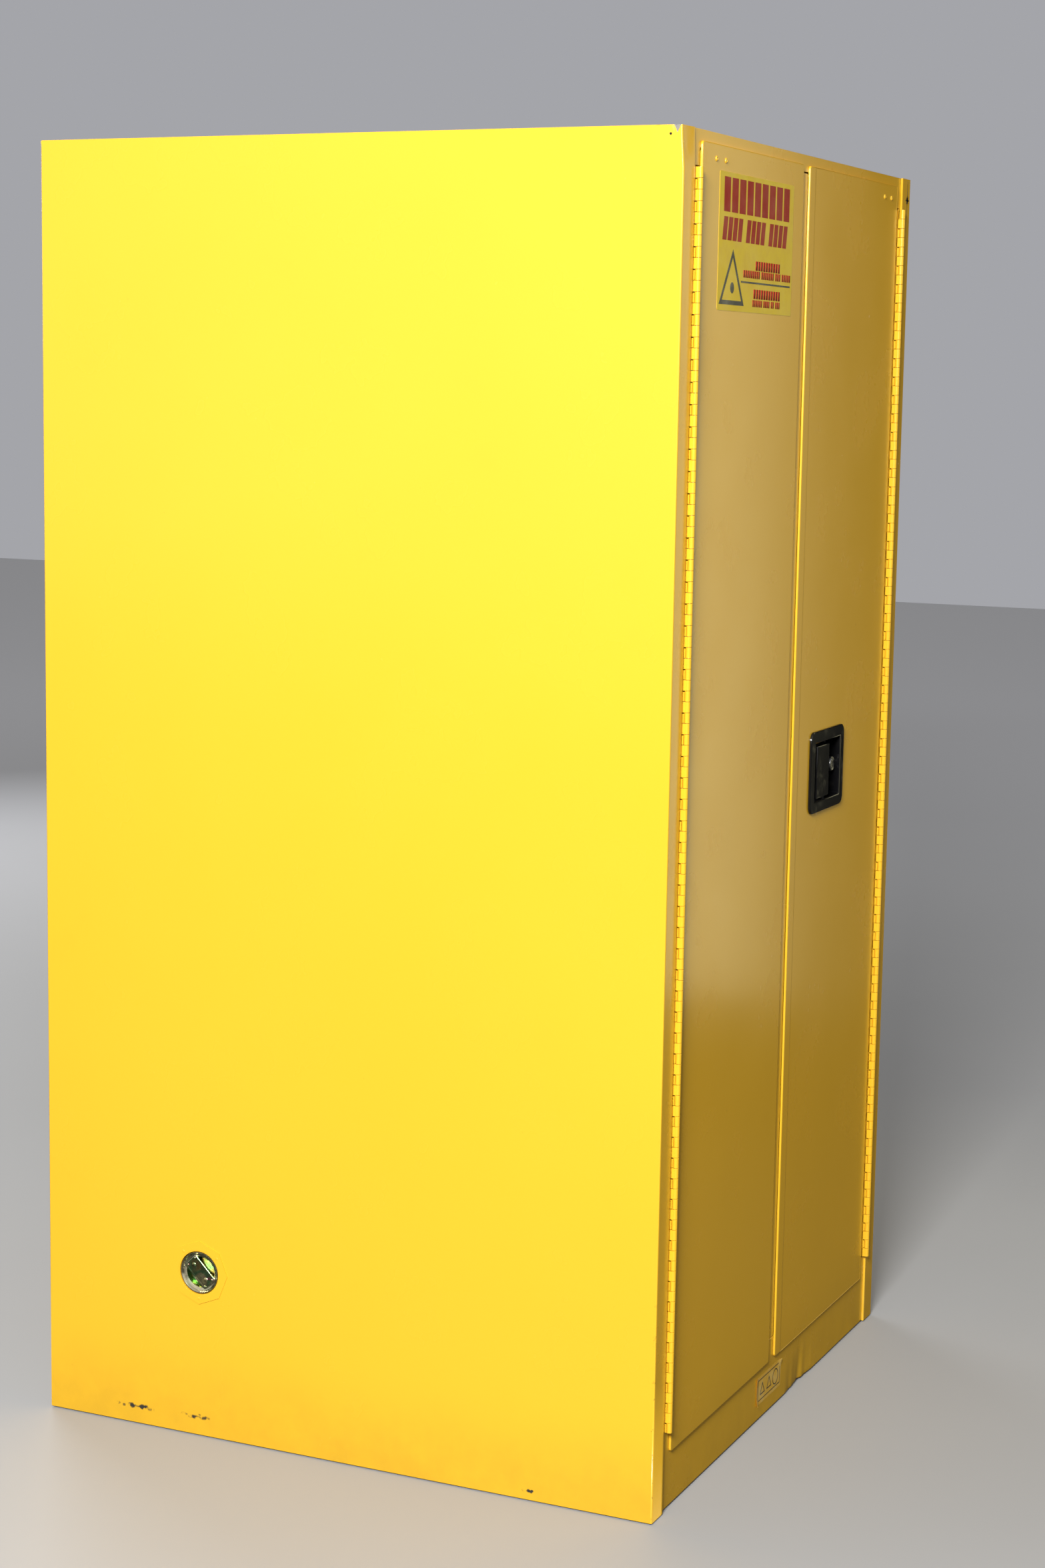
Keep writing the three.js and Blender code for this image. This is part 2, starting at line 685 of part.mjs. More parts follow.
// The yoke's slot is level, so the pin can sweep its small arc while the rod runs straight.
function latchRod(direction, tip) {
  const place = rodPlace(direction);
  const yokeZ = CAM.z - direction * CRANK_RISE;
  const yoke = block(
    [place[0] - 10, place[0] + 10],
    [FRONT + ROD_LAYER.front, FRONT + ROD_LAYER.back],
    [yokeZ - 7, yokeZ + 7],
  );
  const inYoke = yokeZ + direction * 6;
  const rod = bar("z", ROD_R, [Math.min(inYoke, tip), Math.max(inYoke, tip)], place);
  const reach = CAM.crank * (1 - Math.cos(CAM.throwAngle / 2));
  const half = CAM.pin + SLOT_PLAY;
  const slot = block(
    [place[0] - reach - half, place[0] + reach + half],
    [FRONT + ROD_LAYER.front - 5, FRONT + ROD_LAYER.back + 5],
    [yokeZ - half, yokeZ + half],
  );
  return cut(join(yoke, rod), slot);
}

function latchBolt() {
  const z = boltZ();
  const layer = [FRONT + BOLT_LAYER.front, FRONT + BOLT_LAYER.back];
  const plate = block([RIGHT_TRAY_EDGE + 2, CAM.x + CRANK_RISE + 8], layer, [z - BOLT_HALF, z + BOLT_HALF]);
  const half = CAM.pin + SLOT_PLAY;
  const rise = CAM.crank * (1 - Math.cos(CAM.throwAngle / 2)) / 2;
  const slot = block(
    [CAM.x + CRANK_RISE - half, CAM.x + CRANK_RISE + half],
    [layer[0] - 5, layer[1] + 5],
    [z - rise - half, z + rise + half],
  );
  return cut(plate, slot);
}

function rodGuide(direction, z) {
  const [x, y] = rodPlace(direction);
  const body = block([x - 10, x + 10], [FRONT + 14, FRONT + DOOR_DEPTH - SHEET - FIT], [z - 8, z + 8]);
  return cut(body, bar("z", ROD_R + 0.4, [z - 10, z + 10], [x, y], 12));
}

function latchSpindle() {
  const place = [CAM.x, CAM.z];
  const shank = bar("y", 4, [FRONT + 29, FRONT + DOOR_DEPTH - SHEET - FIT], place, 12);
  return join(shank, bar("y", 7, [FRONT + 27.5, FRONT + 30.4], place, 12));
}

function latch() {
  const group = new THREE.Group();
  group.add(
    part("latch_cam", latchCam(), "steel"),
    part("latch_spindle", latchSpindle(), "steel"),
    part("upper_rod", latchRod(1, TRAY_TOP - 0.5), "galvanised"),
    part("lower_rod", latchRod(-1, TRAY_BOTTOM + 0.5), "galvanised"),
    part("latch_bolt", latchBolt(), "steel"),
    part("upper_rod_guide", rodGuide(1, TRAY_TOP - 60), "black"),
    part("lower_rod_guide", rodGuide(-1, TRAY_BOTTOM + 60), "black"),
  );
  return group;
}

const cabinet = new THREE.Group();
cabinet.add(carcass(), vents(), hinges(), doors(), handle(), latch());

export default cabinet;
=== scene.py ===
import json
import math

import bmesh
import bpy
from mathutils import Matrix, Vector


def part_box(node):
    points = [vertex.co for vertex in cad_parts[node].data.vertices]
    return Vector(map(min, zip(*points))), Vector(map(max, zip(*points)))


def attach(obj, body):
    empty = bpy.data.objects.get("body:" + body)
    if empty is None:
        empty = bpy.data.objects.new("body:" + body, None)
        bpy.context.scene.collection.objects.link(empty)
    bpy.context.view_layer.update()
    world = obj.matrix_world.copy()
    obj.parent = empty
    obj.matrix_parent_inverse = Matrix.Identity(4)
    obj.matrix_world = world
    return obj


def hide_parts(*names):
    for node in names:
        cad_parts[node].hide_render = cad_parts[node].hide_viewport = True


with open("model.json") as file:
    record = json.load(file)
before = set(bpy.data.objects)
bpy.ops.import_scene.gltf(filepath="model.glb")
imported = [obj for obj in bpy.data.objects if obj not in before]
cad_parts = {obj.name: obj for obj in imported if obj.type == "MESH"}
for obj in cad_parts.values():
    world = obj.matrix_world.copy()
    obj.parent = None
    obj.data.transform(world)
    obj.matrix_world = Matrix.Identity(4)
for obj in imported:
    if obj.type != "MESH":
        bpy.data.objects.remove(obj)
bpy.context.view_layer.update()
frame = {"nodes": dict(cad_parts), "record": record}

MM = 0.001
SHEET = 1.2 * MM
CABINET = "cabinet"
LEFT_DOOR = "left_door"
RIGHT_DOOR = "right_door"
RIGHT_FACE = ["right_door_face_lower", "right_door_face_middle", "right_door_face_upper"]


# ---- the cabinet's own places, read from the frame ----------------------------------------------

def low(node):
    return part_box(node)[0]


def high(node):
    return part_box(node)[1]


FRONT = low("left_side_panel")[1]
SIDE = high("right_side_panel")[0]
TOP = high("left_side_panel")[2]
RAIL_FACE = low("kick_rail")[1]
NICK = {"y": FRONT + 9.2 * MM, "half_width": 5.5 * MM, "depth": 11 * MM}


def vent_place(side_name):
    """The vent's axis along local Z, outward, with its origin on the side panel's face."""
    lowest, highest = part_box(f"{side_name}_vent_housing")
    side = 1 if side_name == "right" else -1
    middle = ((lowest[1] + highest[1]) / 2, (lowest[2] + highest[2]) / 2)
    turn = Matrix.Rotation(side * math.pi / 2, 4, "Y")
    return Matrix.Translation((side * SIDE, *middle)) @ turn


# ---- finishes -----------------------------------------------------------------------------------

class Finish:
    """The node tree of one finish, on the piece's own object coordinates."""

    def __init__(self, name, roughness, metallic=0.0):
        self.material = bpy.data.materials.new(name)
        self.material.use_nodes = True
        tree = self.material.node_tree
        self.nodes, self.links = tree.nodes, tree.links
        self.shader = self.nodes["Principled BSDF"]
        self.shader.inputs["Roughness"].default_value = roughness
        self.shader.inputs["Metallic"].default_value = metallic
        self.place = self.nodes.new("ShaderNodeTexCoord").outputs["Object"]

    def constant(self, socket, value):
        self.shader.inputs[socket].default_value = value

    def feed(self, socket, output):
        self.links.new(output, self.shader.inputs[socket])

    def stretched(self, scale):
        mapping = self.nodes.new("ShaderNodeMapping")
        mapping.inputs["Scale"].default_value = scale
        self.links.new(self.place, mapping.inputs["Vector"])
        return mapping.outputs["Vector"]

    def noise(self, scale, detail=2.0, roughness=0.5, place=None):
        node = self.nodes.new("ShaderNodeTexNoise")
        node.inputs["Scale"].default_value = scale
        node.inputs["Detail"].default_value = detail
        node.inputs["Roughness"].default_value = roughness
        self.links.new(place or self.place, node.inputs["Vector"])
        return node.outputs["Fac"]

    def cells(self, scale, output="Color", feature="F1"):
        node = self.nodes.new("ShaderNodeTexVoronoi")
        node.feature = feature
        node.inputs["Scale"].default_value = scale
        self.links.new(self.place, node.inputs["Vector"])
        return node.outputs[output]

    def axis(self, letter):
        node = self.nodes.new("ShaderNodeSeparateXYZ")
        self.links.new(self.place, node.inputs[0])
        return node.outputs[letter]

    def math(self, operation, first, second=0.0):
        node = self.nodes.new("ShaderNodeMath")
        node.operation = operation
        for socket, value in zip(node.inputs, (first, second)):
            if isinstance(value, (int, float)):
                socket.default_value = value
            else:
                self.links.new(value, socket)
        return node.outputs[0]

    def span(self, value, start, end, result=(0.0, 1.0)):
        """A smooth run from result[0] at start to result[1] at end."""
        node = self.nodes.new("ShaderNodeMapRange")
        node.interpolation_type = "SMOOTHSTEP"
        backwards = start > end
        node.inputs["From Min"].default_value = min(start, end)
        node.inputs["From Max"].default_value = max(start, end)
        node.inputs["To Min"].default_value = result[1] if backwards else result[0]
        node.inputs["To Max"].default_value = result[0] if backwards else result[1]
        self.links.new(value, node.inputs["Value"])
        return node.outputs["Result"]

    def distance_to(self, point, squash=(1.0, 1.0, 1.0)):
        """Distance to a place, with each axis weighed by squash."""
        mapping = self.nodes.new("ShaderNodeMapping")
        mapping.inputs["Location"].default_value = [-p * s for p, s in zip(point, squash)]
        mapping.inputs["Scale"].default_value = squash
        self.links.new(self.place, mapping.inputs["Vector"])
        length = self.nodes.new("ShaderNodeVectorMath")
        length.operation = "LENGTH"
        self.links.new(mapping.outputs["Vector"], length.inputs[0])
        return length.outputs["Value"]

    def blend(self, factor, first, second):
        node = self.nodes.new("ShaderNodeMix")
        node.data_type = "RGBA"
        self.links.new(factor, node.inputs["Factor"])
        for index, value in ((6, first), (7, second)):
            if isinstance(value, tuple):
                node.inputs[index].default_value = (*value, 1.0)
            else:
                self.links.new(value, node.inputs[index])
        return node.outputs[2]

    def bump(self, height, strength, distance, under=None):
        node = self.nodes.new("ShaderNodeBump")
        node.inputs["Strength"].default_value = strength
        node.inputs["Distance"].default_value = distance
        self.links.new(height, node.inputs["Height"])
        if under is not None:
            self.links.new(under, node.inputs["Normal"])
        return node.outputs["Normal"]


SAFETY_YELLOW = (0.80, 0.458, 0.026)
WARM_YELLOW = (0.78, 0.434, 0.022)
PRIMER_GREY = (0.21, 0.20, 0.185)
OLD_DIRT = (0.09, 0.055, 0.018)
RUST = (0.11, 0.045, 0.014)


def chip_mask(paint):
    """Where the paint is gone to bare sheet: a small V in the knocked top front corner."""
    down = paint.math("SUBTRACT", TOP, paint.axis("Z"))
    across = paint.math("ABSOLUTE", paint.math("SUBTRACT", paint.axis("Y"), NICK["y"]))
    reach = paint.math("ADD", down, paint.math("MULTIPLY", across, NICK["depth"] / NICK["half_width"]))
    reach = paint.math("ADD", reach, paint.math("MULTIPLY", paint.noise(260.0, 3.0, 0.7), 0.004))
    left_only = paint.span(paint.axis("X"), -SIDE + 3 * MM, -SIDE + 2.4 * MM)
    return paint.math("MULTIPLY", paint.span(reach, 0.0112, 0.0100), left_only)


def rust_mask(paint):
    """Small rusted nicks low on the left front corner and along the bottom edges."""
    corner = paint.distance_to((-SIDE, FRONT, 0.0), (1.0, 1.0, 0.0))
    nicks = paint.span(paint.noise(85.0, 4.0, 0.75), 0.56, 0.66, (0.006, 0.0))
    corner = paint.math("ADD", corner, nicks)
    low_down = paint.span(paint.axis("Z"), 0.34, 0.05)
    worn_corner = paint.math("MULTIPLY", paint.span(corner, 0.0042, 0.0030), low_down)
    ragged = paint.span(paint.noise(48.0, 5.0, 0.8), 0.52, 0.72, (0.03, 0.0))
    foot = paint.math("ADD", paint.axis("Z"), ragged)
    return paint.math("MAXIMUM", worn_corner, paint.span(foot, 0.0075, 0.0055))


def scuff_mask(paint):
    """Short dark rubs low on the left side."""
    rubs = None
    for y, z, length in ((0.294, 0.024, 0.030), (0.208, 0.026, 0.020), (-0.27, 0.013, 0.010)):
        rub = paint.distance_to((-SIDE, y, z), (1.0, 0.0035 / length, 1.0))
        rub = paint.math("ADD", rub, paint.span(paint.noise(130.0, 3.0), 0.35, 0.65, (0.003, 0.0)))
        rub = paint.span(rub, 0.0048, 0.0026)
        rubs = rub if rubs is None else paint.math("MAXIMUM", rubs, rub)
    return rubs


def yellow_paint():
    paint = Finish("yellow_paint", 0.25)
    paint.constant("Specular IOR Level", 0.36)
    paint.constant("Coat Weight", 0.3)
    paint.constant("Coat Roughness", 0.16)
    tone = paint.blend(paint.noise(2.2, 2.0), SAFETY_YELLOW, WARM_YELLOW)
    smudge = paint.math("MULTIPLY", paint.span(paint.noise(9.0, 5.0, 0.62), 0.60, 0.78), 0.015)
    tone = paint.blend(smudge, tone, OLD_DIRT)
    low_dust = paint.math("MULTIPLY", paint.span(paint.axis("Z"), 0.14, 0.0), paint.noise(22.0, 4.0, 0.6))
    tone = paint.blend(paint.math("MULTIPLY", low_dust, 0.28), tone, OLD_DIRT)
    specks = paint.span(paint.noise(70.0, 3.0, 0.65), 0.74, 0.79)
    tone = paint.blend(paint.math("MULTIPLY", specks, 0.14), tone, OLD_DIRT)
    scuffs = scuff_mask(paint)
    tone = paint.blend(scuffs, tone, (0.03, 0.026, 0.02))
    chips = chip_mask(paint)
    tone = paint.blend(chips, tone, PRIMER_GREY)
    tone = paint.blend(rust_mask(paint), tone, RUST)
    paint.feed("Base Color", tone)
    rubbed = paint.math("MULTIPLY", paint.noise(7.0, 4.0, 0.6), 0.16)
    gloss = paint.math("ADD", rubbed, 0.18)
    gloss = paint.math("MAXIMUM", gloss, paint.math("MULTIPLY", paint.math("MAXIMUM", chips, scuffs), 0.62))
    paint.feed("Roughness", gloss)
    sheet_waves = paint.bump(paint.noise(5.5, 1.0), 0.35, 0.0016)
    peel = paint.bump(paint.noise(420.0, 2.0), 0.05, 0.0002, sheet_waves)
    paint.feed("Normal", paint.bump(paint.math("MULTIPLY", chips, -1.0), 0.6, 0.0004, peel))
    return paint.material


def galvanised():
    zinc = Finish("galvanised_zinc", 0.45, 0.35)
    spangle = zinc.cells(70.0)
    grey = zinc.nodes.new("ShaderNodeRGBToBW")
    zinc.links.new(spangle, grey.inputs[0])
    flake = grey.outputs[0]
    zinc.feed("Base Color", zinc.blend(flake, (0.48, 0.50, 0.52), (0.66, 0.68, 0.69)))
    zinc.feed("Roughness", zinc.span(flake, 0.0, 1.0, (0.40, 0.62)))
    zinc.feed("Normal", zinc.bump(zinc.noise(300.0, 2.0), 0.1, 0.0002))
    return zinc.material


def drawn_steel():
    steel = Finish("drawn_steel", 0.35, 1.0)
    grain = steel.noise(1.0, 3.0, 0.6, steel.stretched((900.0, 900.0, 60.0)))
    steel.feed("Base Color", steel.blend(grain, (0.30, 0.30, 0.31), (0.52, 0.52, 0.53)))
    steel.feed("Roughness", steel.span(grain, 0.2, 0.8, (0.25, 0.45)))
    return steel.material


def chromate():
    """Zinc plate with a yellow passivate: bronze, drifting to green, gold and pink."""
    plate = Finish("yellow_chromate", 0.22, 1.0)
    drift = plate.noise(52.0, 2.0, 0.5)
    colour = plate.blend(plate.span(drift, 0.36, 0.50), (0.34, 0.26, 0.10), (0.17, 0.30, 0.14))
    colour = plate.blend(plate.span(drift, 0.54, 0.62), colour, (0.50, 0.46, 0.24))
    pink = plate.span(plate.noise(120.0, 2.0, 0.5), 0.62, 0.70)
    colour = plate.blend(pink, colour, (0.46, 0.22, 0.22))
    for side_name in ("left", "right"):
        middle = vent_place(side_name).translation
        ring = plate.span(plate.distance_to(middle, (0.0, 1.0, 1.0)), 19.5 * MM, 21.5 * MM)
        near = plate.span(plate.distance_to(middle, (0.0, 1.0, 1.0)), 60 * MM, 58 * MM)
        polished = plate.math("MULTIPLY", plate.math("MULTIPLY", ring, near), 0.7)
        colour = plate.blend(polished, colour, (0.62, 0.57, 0.42))
    plate.feed("Base Color", colour)
    plate.feed("Roughness", plate.span(plate.noise(160.0, 3.0), 0.3, 0.7, (0.14, 0.30)))
    plate.feed("Normal", plate.bump(plate.noise(240.0, 2.0), 0.12, 0.0003))
    return plate.material


def black_gloss():
    black = Finish("black_gloss", 0.16)
    dust = black.span(black.noise(38.0, 5.0, 0.65), 0.48, 0.72)
    black.feed("Base Color", black.blend(dust, (0.0035, 0.0035, 0.004), (0.008, 0.0075, 0.007)))
    black.feed("Roughness", black.span(dust, 0.0, 1.0, (0.12, 0.22)))
    black.feed("Normal", black.bump(black.noise(520.0, 2.0), 0.06, 0.0002))
    return black.material


def lock_metal():
    metal = Finish("lock_metal", 0.3, 1.0)
    turning = metal.noise(600.0, 2.0, 0.5)
    metal.feed("Base Color", metal.blend(turning, (0.16, 0.16, 0.16), (0.28, 0.28, 0.275)))
    metal.feed("Roughness", metal.span(turning, 0.2, 0.8, (0.22, 0.4)))
    return metal.material


def brass_gauze():
    gauze = Finish("brass_gauze", 0.45, 1.0)
    wire = gauze.nodes.new("ShaderNodeTexChecker")
    wire.inputs["Scale"].default_value = 900.0
    gauze.links.new(gauze.place, wire.inputs["Vector"])
    gauze.feed("Base Color", gauze.blend(wire.outputs["Fac"], (0.05, 0.035, 0.015), (0.55, 0.40, 0.16)))
    gauze.feed("Normal", gauze.bump(wire.outputs["Fac"], 0.6, 0.0004))
    return gauze.material


def foot_rubber():
    rubber = Finish("foot_rubber", 0.8)
    dust = rubber.noise(60.0, 4.0)
    rubber.feed("Base Color", rubber.blend(dust, (0.012, 0.012, 0.012), (0.035, 0.033, 0.03)))
    rubber.feed("Normal", rubber.bump(rubber.noise(500.0, 2.0), 0.2, 0.0003))
    return rubber.material


def printed(name, main, faded, gloss=0.3):
    """Ink or film of a label: a little uneven and rubbed."""
    ink = Finish(name, gloss)
    ink.constant("Specular IOR Level", 0.2)
    ink.feed("Base Color", ink.blend(ink.span(ink.noise(45.0, 4.0, 0.6), 0.35, 0.75), main, faded))
    ink.feed("Roughness", ink.span(ink.noise(30.0, 3.0), 0.3, 0.7, (gloss - 0.06, gloss + 0.1)))
    ink.feed("Normal", ink.bump(ink.noise(26.0, 2.0), 0.12, 0.0008))
    return ink.material


def floor_paint():
    """Pale matt floor, which throws little light back on to what stands on it."""
    ground = Finish("pale_floor", 0.6)
    pale = ground.blend(ground.noise(1.3, 3.0), (0.34, 0.343, 0.35), (0.37, 0.373, 0.38))
    far = ground.span(ground.distance_to((0.0, 0.0, 0.0)), 1.5, 9.0)
    pale = ground.blend(far, pale, (0.80, 0.81, 0.86))
    path = ground.nodes.new("ShaderNodeLightPath")
    ground.feed("Base Color", ground.blend(path.outputs["Is Camera Ray"], (0.02, 0.02, 0.02), pale))
    ground.feed("Normal", ground.bump(ground.noise(40.0, 3.0), 0.08, 0.001))
    return ground.material


PAINT = yellow_paint()
ZINC = galvanised()
STEEL = drawn_steel()
CHROMATE = chromate()
BLACK = black_gloss()
LOCK_METAL = lock_metal()
GAUZE = brass_gauze()
RUBBER = foot_rubber()
LABEL_FILM = printed("label_film", (0.82, 0.60, 0.04), (0.78, 0.54, 0.05), 0.35)
LABEL_RED = printed("label_red", (0.36, 0.018, 0.014), (0.42, 0.035, 0.02), 0.4)
LABEL_DARK = printed("label_dark", (0.035, 0.04, 0.042), (0.07, 0.075, 0.07), 0.26)
MARKER = printed("black_marker", (0.012, 0.011, 0.012), (0.03, 0.025, 0.02), 0.4)
CURLED_FILM = printed("curled_film", (0.78, 0.45, 0.05), (0.80, 0.55, 0.16), 0.12)

BY_SLOT = {
    "yellow_paint": PAINT,
    "galvanised_steel": ZINC,
    "plain_steel": STEEL,
    "chromated_steel": CHROMATE,
    "black_handle": BLACK,
    "brass_gauze": GAUZE,
    "lock_chrome": LOCK_METAL,
    "black_rubber": RUBBER,
}


# ---- making pieces ------------------------------------------------------------------------------

WIDE_FACE = 9 * MM
SHARP_ANGLE = math.radians(32)


def is_wide(face):
    """A broad flat of the sheet, as against a strip of a rounded fold or of a turned surface."""
    return face.calc_area() > WIDE_FACE * max(edge.calc_length() for edge in face.edges)


def flat_faces(mesh):
    """The broad flats, with the slivers that lie in them."""
    flats = {face for face in mesh.faces if is_wide(face)}
    spreading = list(flats)
    while spreading:
        face = spreading.pop()
        for other in {f for edge in face.edges for f in edge.link_faces} - flats:
            if face.normal.angle(other.normal, 1.0) < math.radians(0.1):
                flats.add(other)
                spreading.append(other)
    return flats


def piece(name, mesh, body, material, replaced=()):
    """Ends a bmesh as a piece that rides on a body, at the origin and unturned."""
    mesh.normal_update()
    broad = flat_faces(mesh)
    flats = [face in broad for face in mesh.faces]
    data = bpy.data.meshes.new(name)
    mesh.to_mesh(data)
    mesh.free()
    data.materials.append(material)
    data.set_sharp_from_angle(angle=SHARP_ANGLE)
    for polygon, flat in zip(data.polygons, flats):
        polygon.use_smooth = not flat
    made = bpy.data.objects.new(name, data)
    bpy.context.scene.collection.objects.link(made)
    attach(made, body)
    if replaced:
        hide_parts(*replaced)
    return made


def block(mesh, lowest, highest):
    """A block between two corners."""
    size = [b - a for a, b in zip(lowest, highest)]
    middle = [(a + b) / 2 for a, b in zip(lowest, highest)]
    place = Matrix.Translation(middle) @ Matrix.Diagonal((*size, 1.0))
    return bmesh.ops.create_cube(mesh, size=1.0, matrix=place)["verts"]


def add(mesh, other):
    """Adds another bmesh to this one, and ends the other."""
    data = bpy.data.meshes.new("joined")
    other.to_mesh(data)
    other.free()
    mesh.from_mesh(data)
    bpy.data.meshes.remove(data)


def edges_where(mesh, test):
    return [edge for edge in mesh.edges if test(*(vert.co for vert in edge.verts))]


def bevel(mesh, edges, width, segments=3):
    bmesh.ops.bevel(
        mesh, geom=edges, offset=width, offset_type="OFFSET", segments=segments,
        profile=0.5, affect="EDGES", clamp_overlap=True, material=-1,
    )


def outward(mesh):
    bmesh.ops.remove_doubles(mesh, verts=mesh.verts, dist=1e-6)
    bmesh.ops.recalc_face_normals(mesh, faces=mesh.faces)


def slice_at(mesh, axis, places):
    """Cuts the mesh by a plane across an axis at each place, and keeps both sides."""
    normal = [0.0, 0.0, 0.0]
    normal[axis] = 1.0
    for place in places:
        point = [0.0, 0.0, 0.0]
        point[axis] = place
        geometry = [*mesh.verts, *mesh.edges, *mesh.faces]
        bmesh.ops.bisect_plane(mesh, geom=geometry, dist=1e-7, plane_co=point, plane_no=normal)


def steps(start, end, count):
    return [start + (end - start) * i / (count - 1) for i in range(count)]


def sheet_width(face, edge):
    return face.calc_area() / max(edge.calc_length(), 1e-9)


def folded_copy(node, fold=1.5 * MM, rim=0.35 * MM, cuts=()):
    """A copy of a sheet node with its folds rounded and its cut edges eased. Cuts are (axis, place)."""
    mesh = bmesh.new()
    mesh.from_mesh(frame["nodes"][node].data)
    bmesh.ops.remove_doubles(mesh, verts=mesh.verts, dist=1e-5)
    bmesh.ops.dissolve_limit(
        mesh, angle_limit=math.radians(0.5), verts=mesh.verts, edges=mesh.edges,
        use_dissolve_boundaries=False,
    )
    bmesh.ops.connect_verts_concave(mesh, faces=mesh.faces)
    for axis, place in cuts:
        slice_at(mesh, axis, [place])
    widest_rim = 2.4 * MM
    corner = math.radians(40)
    sharp = [e for e in mesh.edges if e.is_manifold and e.calc_face_angle(0.0) > corner]
    folds = [
        e for e in sharp
        if e.is_convex and all(sheet_width(f, e) > widest_rim for f in e.link_faces)
    ]
    bevel(mesh, folds, fold, 6)
    sharp = [e for e in mesh.edges if e.is_manifold and e.is_convex and e.calc_face_angle(0.0) > corner]
    bevel(mesh, sharp, rim, 1)
    return mesh


def body_of_node(node):
    for body, nodes in frame["record"]["behaviour"]["bodies"].items():
        if node in nodes:
            return body
    return CABINET


# ---- camera, light and floor --------------------------------------------------------------------

def camera():
    """The eye stands to the left of the front, about head high."""
    data = bpy.data.cameras.new("eye")
    data.lens = 63.8
    data.sensor_width = 36.0
    data.clip_end = 100.0
    eye = bpy.data.objects.new("eye", data)
    azimuth, elevation, roll = (math.radians(a) for a in (-65.382, 8.185, 0.937))
    turn = Matrix.Rotation(azimuth, 4, "Z") @ Matrix.Rotation(math.pi / 2 - elevation, 4, "X")
    turn = turn @ Matrix.Rotation(roll, 4, "Z")
    eye.matrix_world = Matrix.Translation((-3.4014, -1.6054, 1.3593)) @ turn
    bpy.context.scene.collection.objects.link(eye)
    bpy.context.scene.camera = eye


def softbox(name, place, target, size, power, colour=(1.0, 1.0, 1.0)):
    data = bpy.data.lights.new(name, "AREA")
    data.shape = "RECTANGLE"
    data.size, data.size_y = size
    data.energy = power
    data.color = colour
    lamp = bpy.data.objects.new(name, data)
    aim = (Vector(target) - Vector(place)).to_track_quat("-Z", "Y")
    lamp.matrix_world = Matrix.Translation(place) @ aim.to_matrix().to_4x4()
    lamp.visible_camera = False
    bpy.context.scene.collection.objects.link(lamp)


def background_light(nodes, strength, colour=(1.0, 0.99, 0.97)):
    node = nodes.new("ShaderNodeBackground")
    node.inputs["Color"].default_value = (*colour, 1.0)
    if isinstance(strength, float):
        node.inputs["Strength"].default_value = strength
    return node


def slope(nodes, links, value, start, end, result):
    """A smooth run of light from result[0] to result[1] across one direction."""
    node = nodes.new("ShaderNodeMapRange")
    node.interpolation_type = "SMOOTHSTEP"
    for socket, number in zip(("From Min", "From Max", "To Min", "To Max"), (start, end, *result)):
        node.inputs[socket].default_value = number
    links.new(value, node.inputs["Value"])
    return node.outputs["Result"]


def room_light(world):
    """Plain pale grey behind; soft light from above; gloss picks up a room bright on the left only."""
    world.use_nodes = True
    nodes, links = world.node_tree.nodes, world.node_tree.links
    nodes.remove(nodes["Background"])
    place = nodes.new("ShaderNodeTexCoord")
    split = nodes.new("ShaderNodeSeparateXYZ")
    links.new(place.outputs["Generated"], split.inputs[0])
    seen = background_light(nodes, 0.40, (0.93, 0.94, 1.0))
    lit = background_light(nodes, None)
    links.new(slope(nodes, links, split.outputs["Z"], -0.05, 0.55, (0.075, 0.33)), lit.inputs["Strength"])
    mirrored = background_light(nodes, None)
    links.new(slope(nodes, links, split.outputs["X"], -0.75, 0.75, (1.0, 0.0)), mirrored.inputs["Strength"])
    path = nodes.new("ShaderNodeLightPath")
    room = nodes.new("ShaderNodeMixShader")
    links.new(path.outputs["Is Glossy Ray"], room.inputs["Fac"])
    links.new(lit.outputs[0], room.inputs[1])
    links.new(mirrored.outputs[0], room.inputs[2])
    whole = nodes.new("ShaderNodeMixShader")
    links.new(path.outputs["Is Camera Ray"], whole.inputs["Fac"])
    links.new(room.outputs[0], whole.inputs[1])
    links.new(seen.outputs[0], whole.inputs[2])
    links.new(whole.outputs[0], nodes["World Output"].inputs["Surface"])


def studio():
    scene = bpy.context.scene
    scene.view_settings.view_transform = "Standard"
    scene.view_settings.look = "None"
    scene.world = bpy.data.worlds.new("studio")
    room_light(scene.world)
    softbox("key", (-4.3, -1.24, 2.75), (-SIDE, -0.1, 0.95), (1.0, 1.0), 402.0, (1.0, 0.985, 0.955))
    softbox("front_card", (1.46, -1.18, 1.08), (-0.2, FRONT, 1.05), (0.34, 1.75), 2.9, (1.0, 0.93, 0.58))
    softbox("front_fill", (1.2, -5.0, 2.9), (0.0, FRONT, 0.8), (3.0, 3.0), 19.0)
    softbox("back_fill", (3.0, 4.0, 2.6), (0.0, 0.4, 0.8), (2.5, 2.5), 90.0)

    mesh = bmesh.new()
    bmesh.ops.create_grid(mesh, x_segments=2, y_segments=2, size=14.0)
    data = bpy.data.meshes.new("floor")
    mesh.to_mesh(data)
    mesh.free()
    data.materials.append(floor_paint())
    floor = bpy.data.objects.new("floor", data)
    scene.collection.objects.link(floor)


# ---- carcass ------------------------------------------------------------------------------------

def dent(mesh, centre, radius, push):
    """Pushes the sheet round a place, less and less towards the radius."""
    for vert in mesh.verts:
        away = (vert.co - Vector(centre)).length / radius
        if away < 1.0:
            share = (1.0 - away * away) ** 2
            vert.co += Vector(push) * share


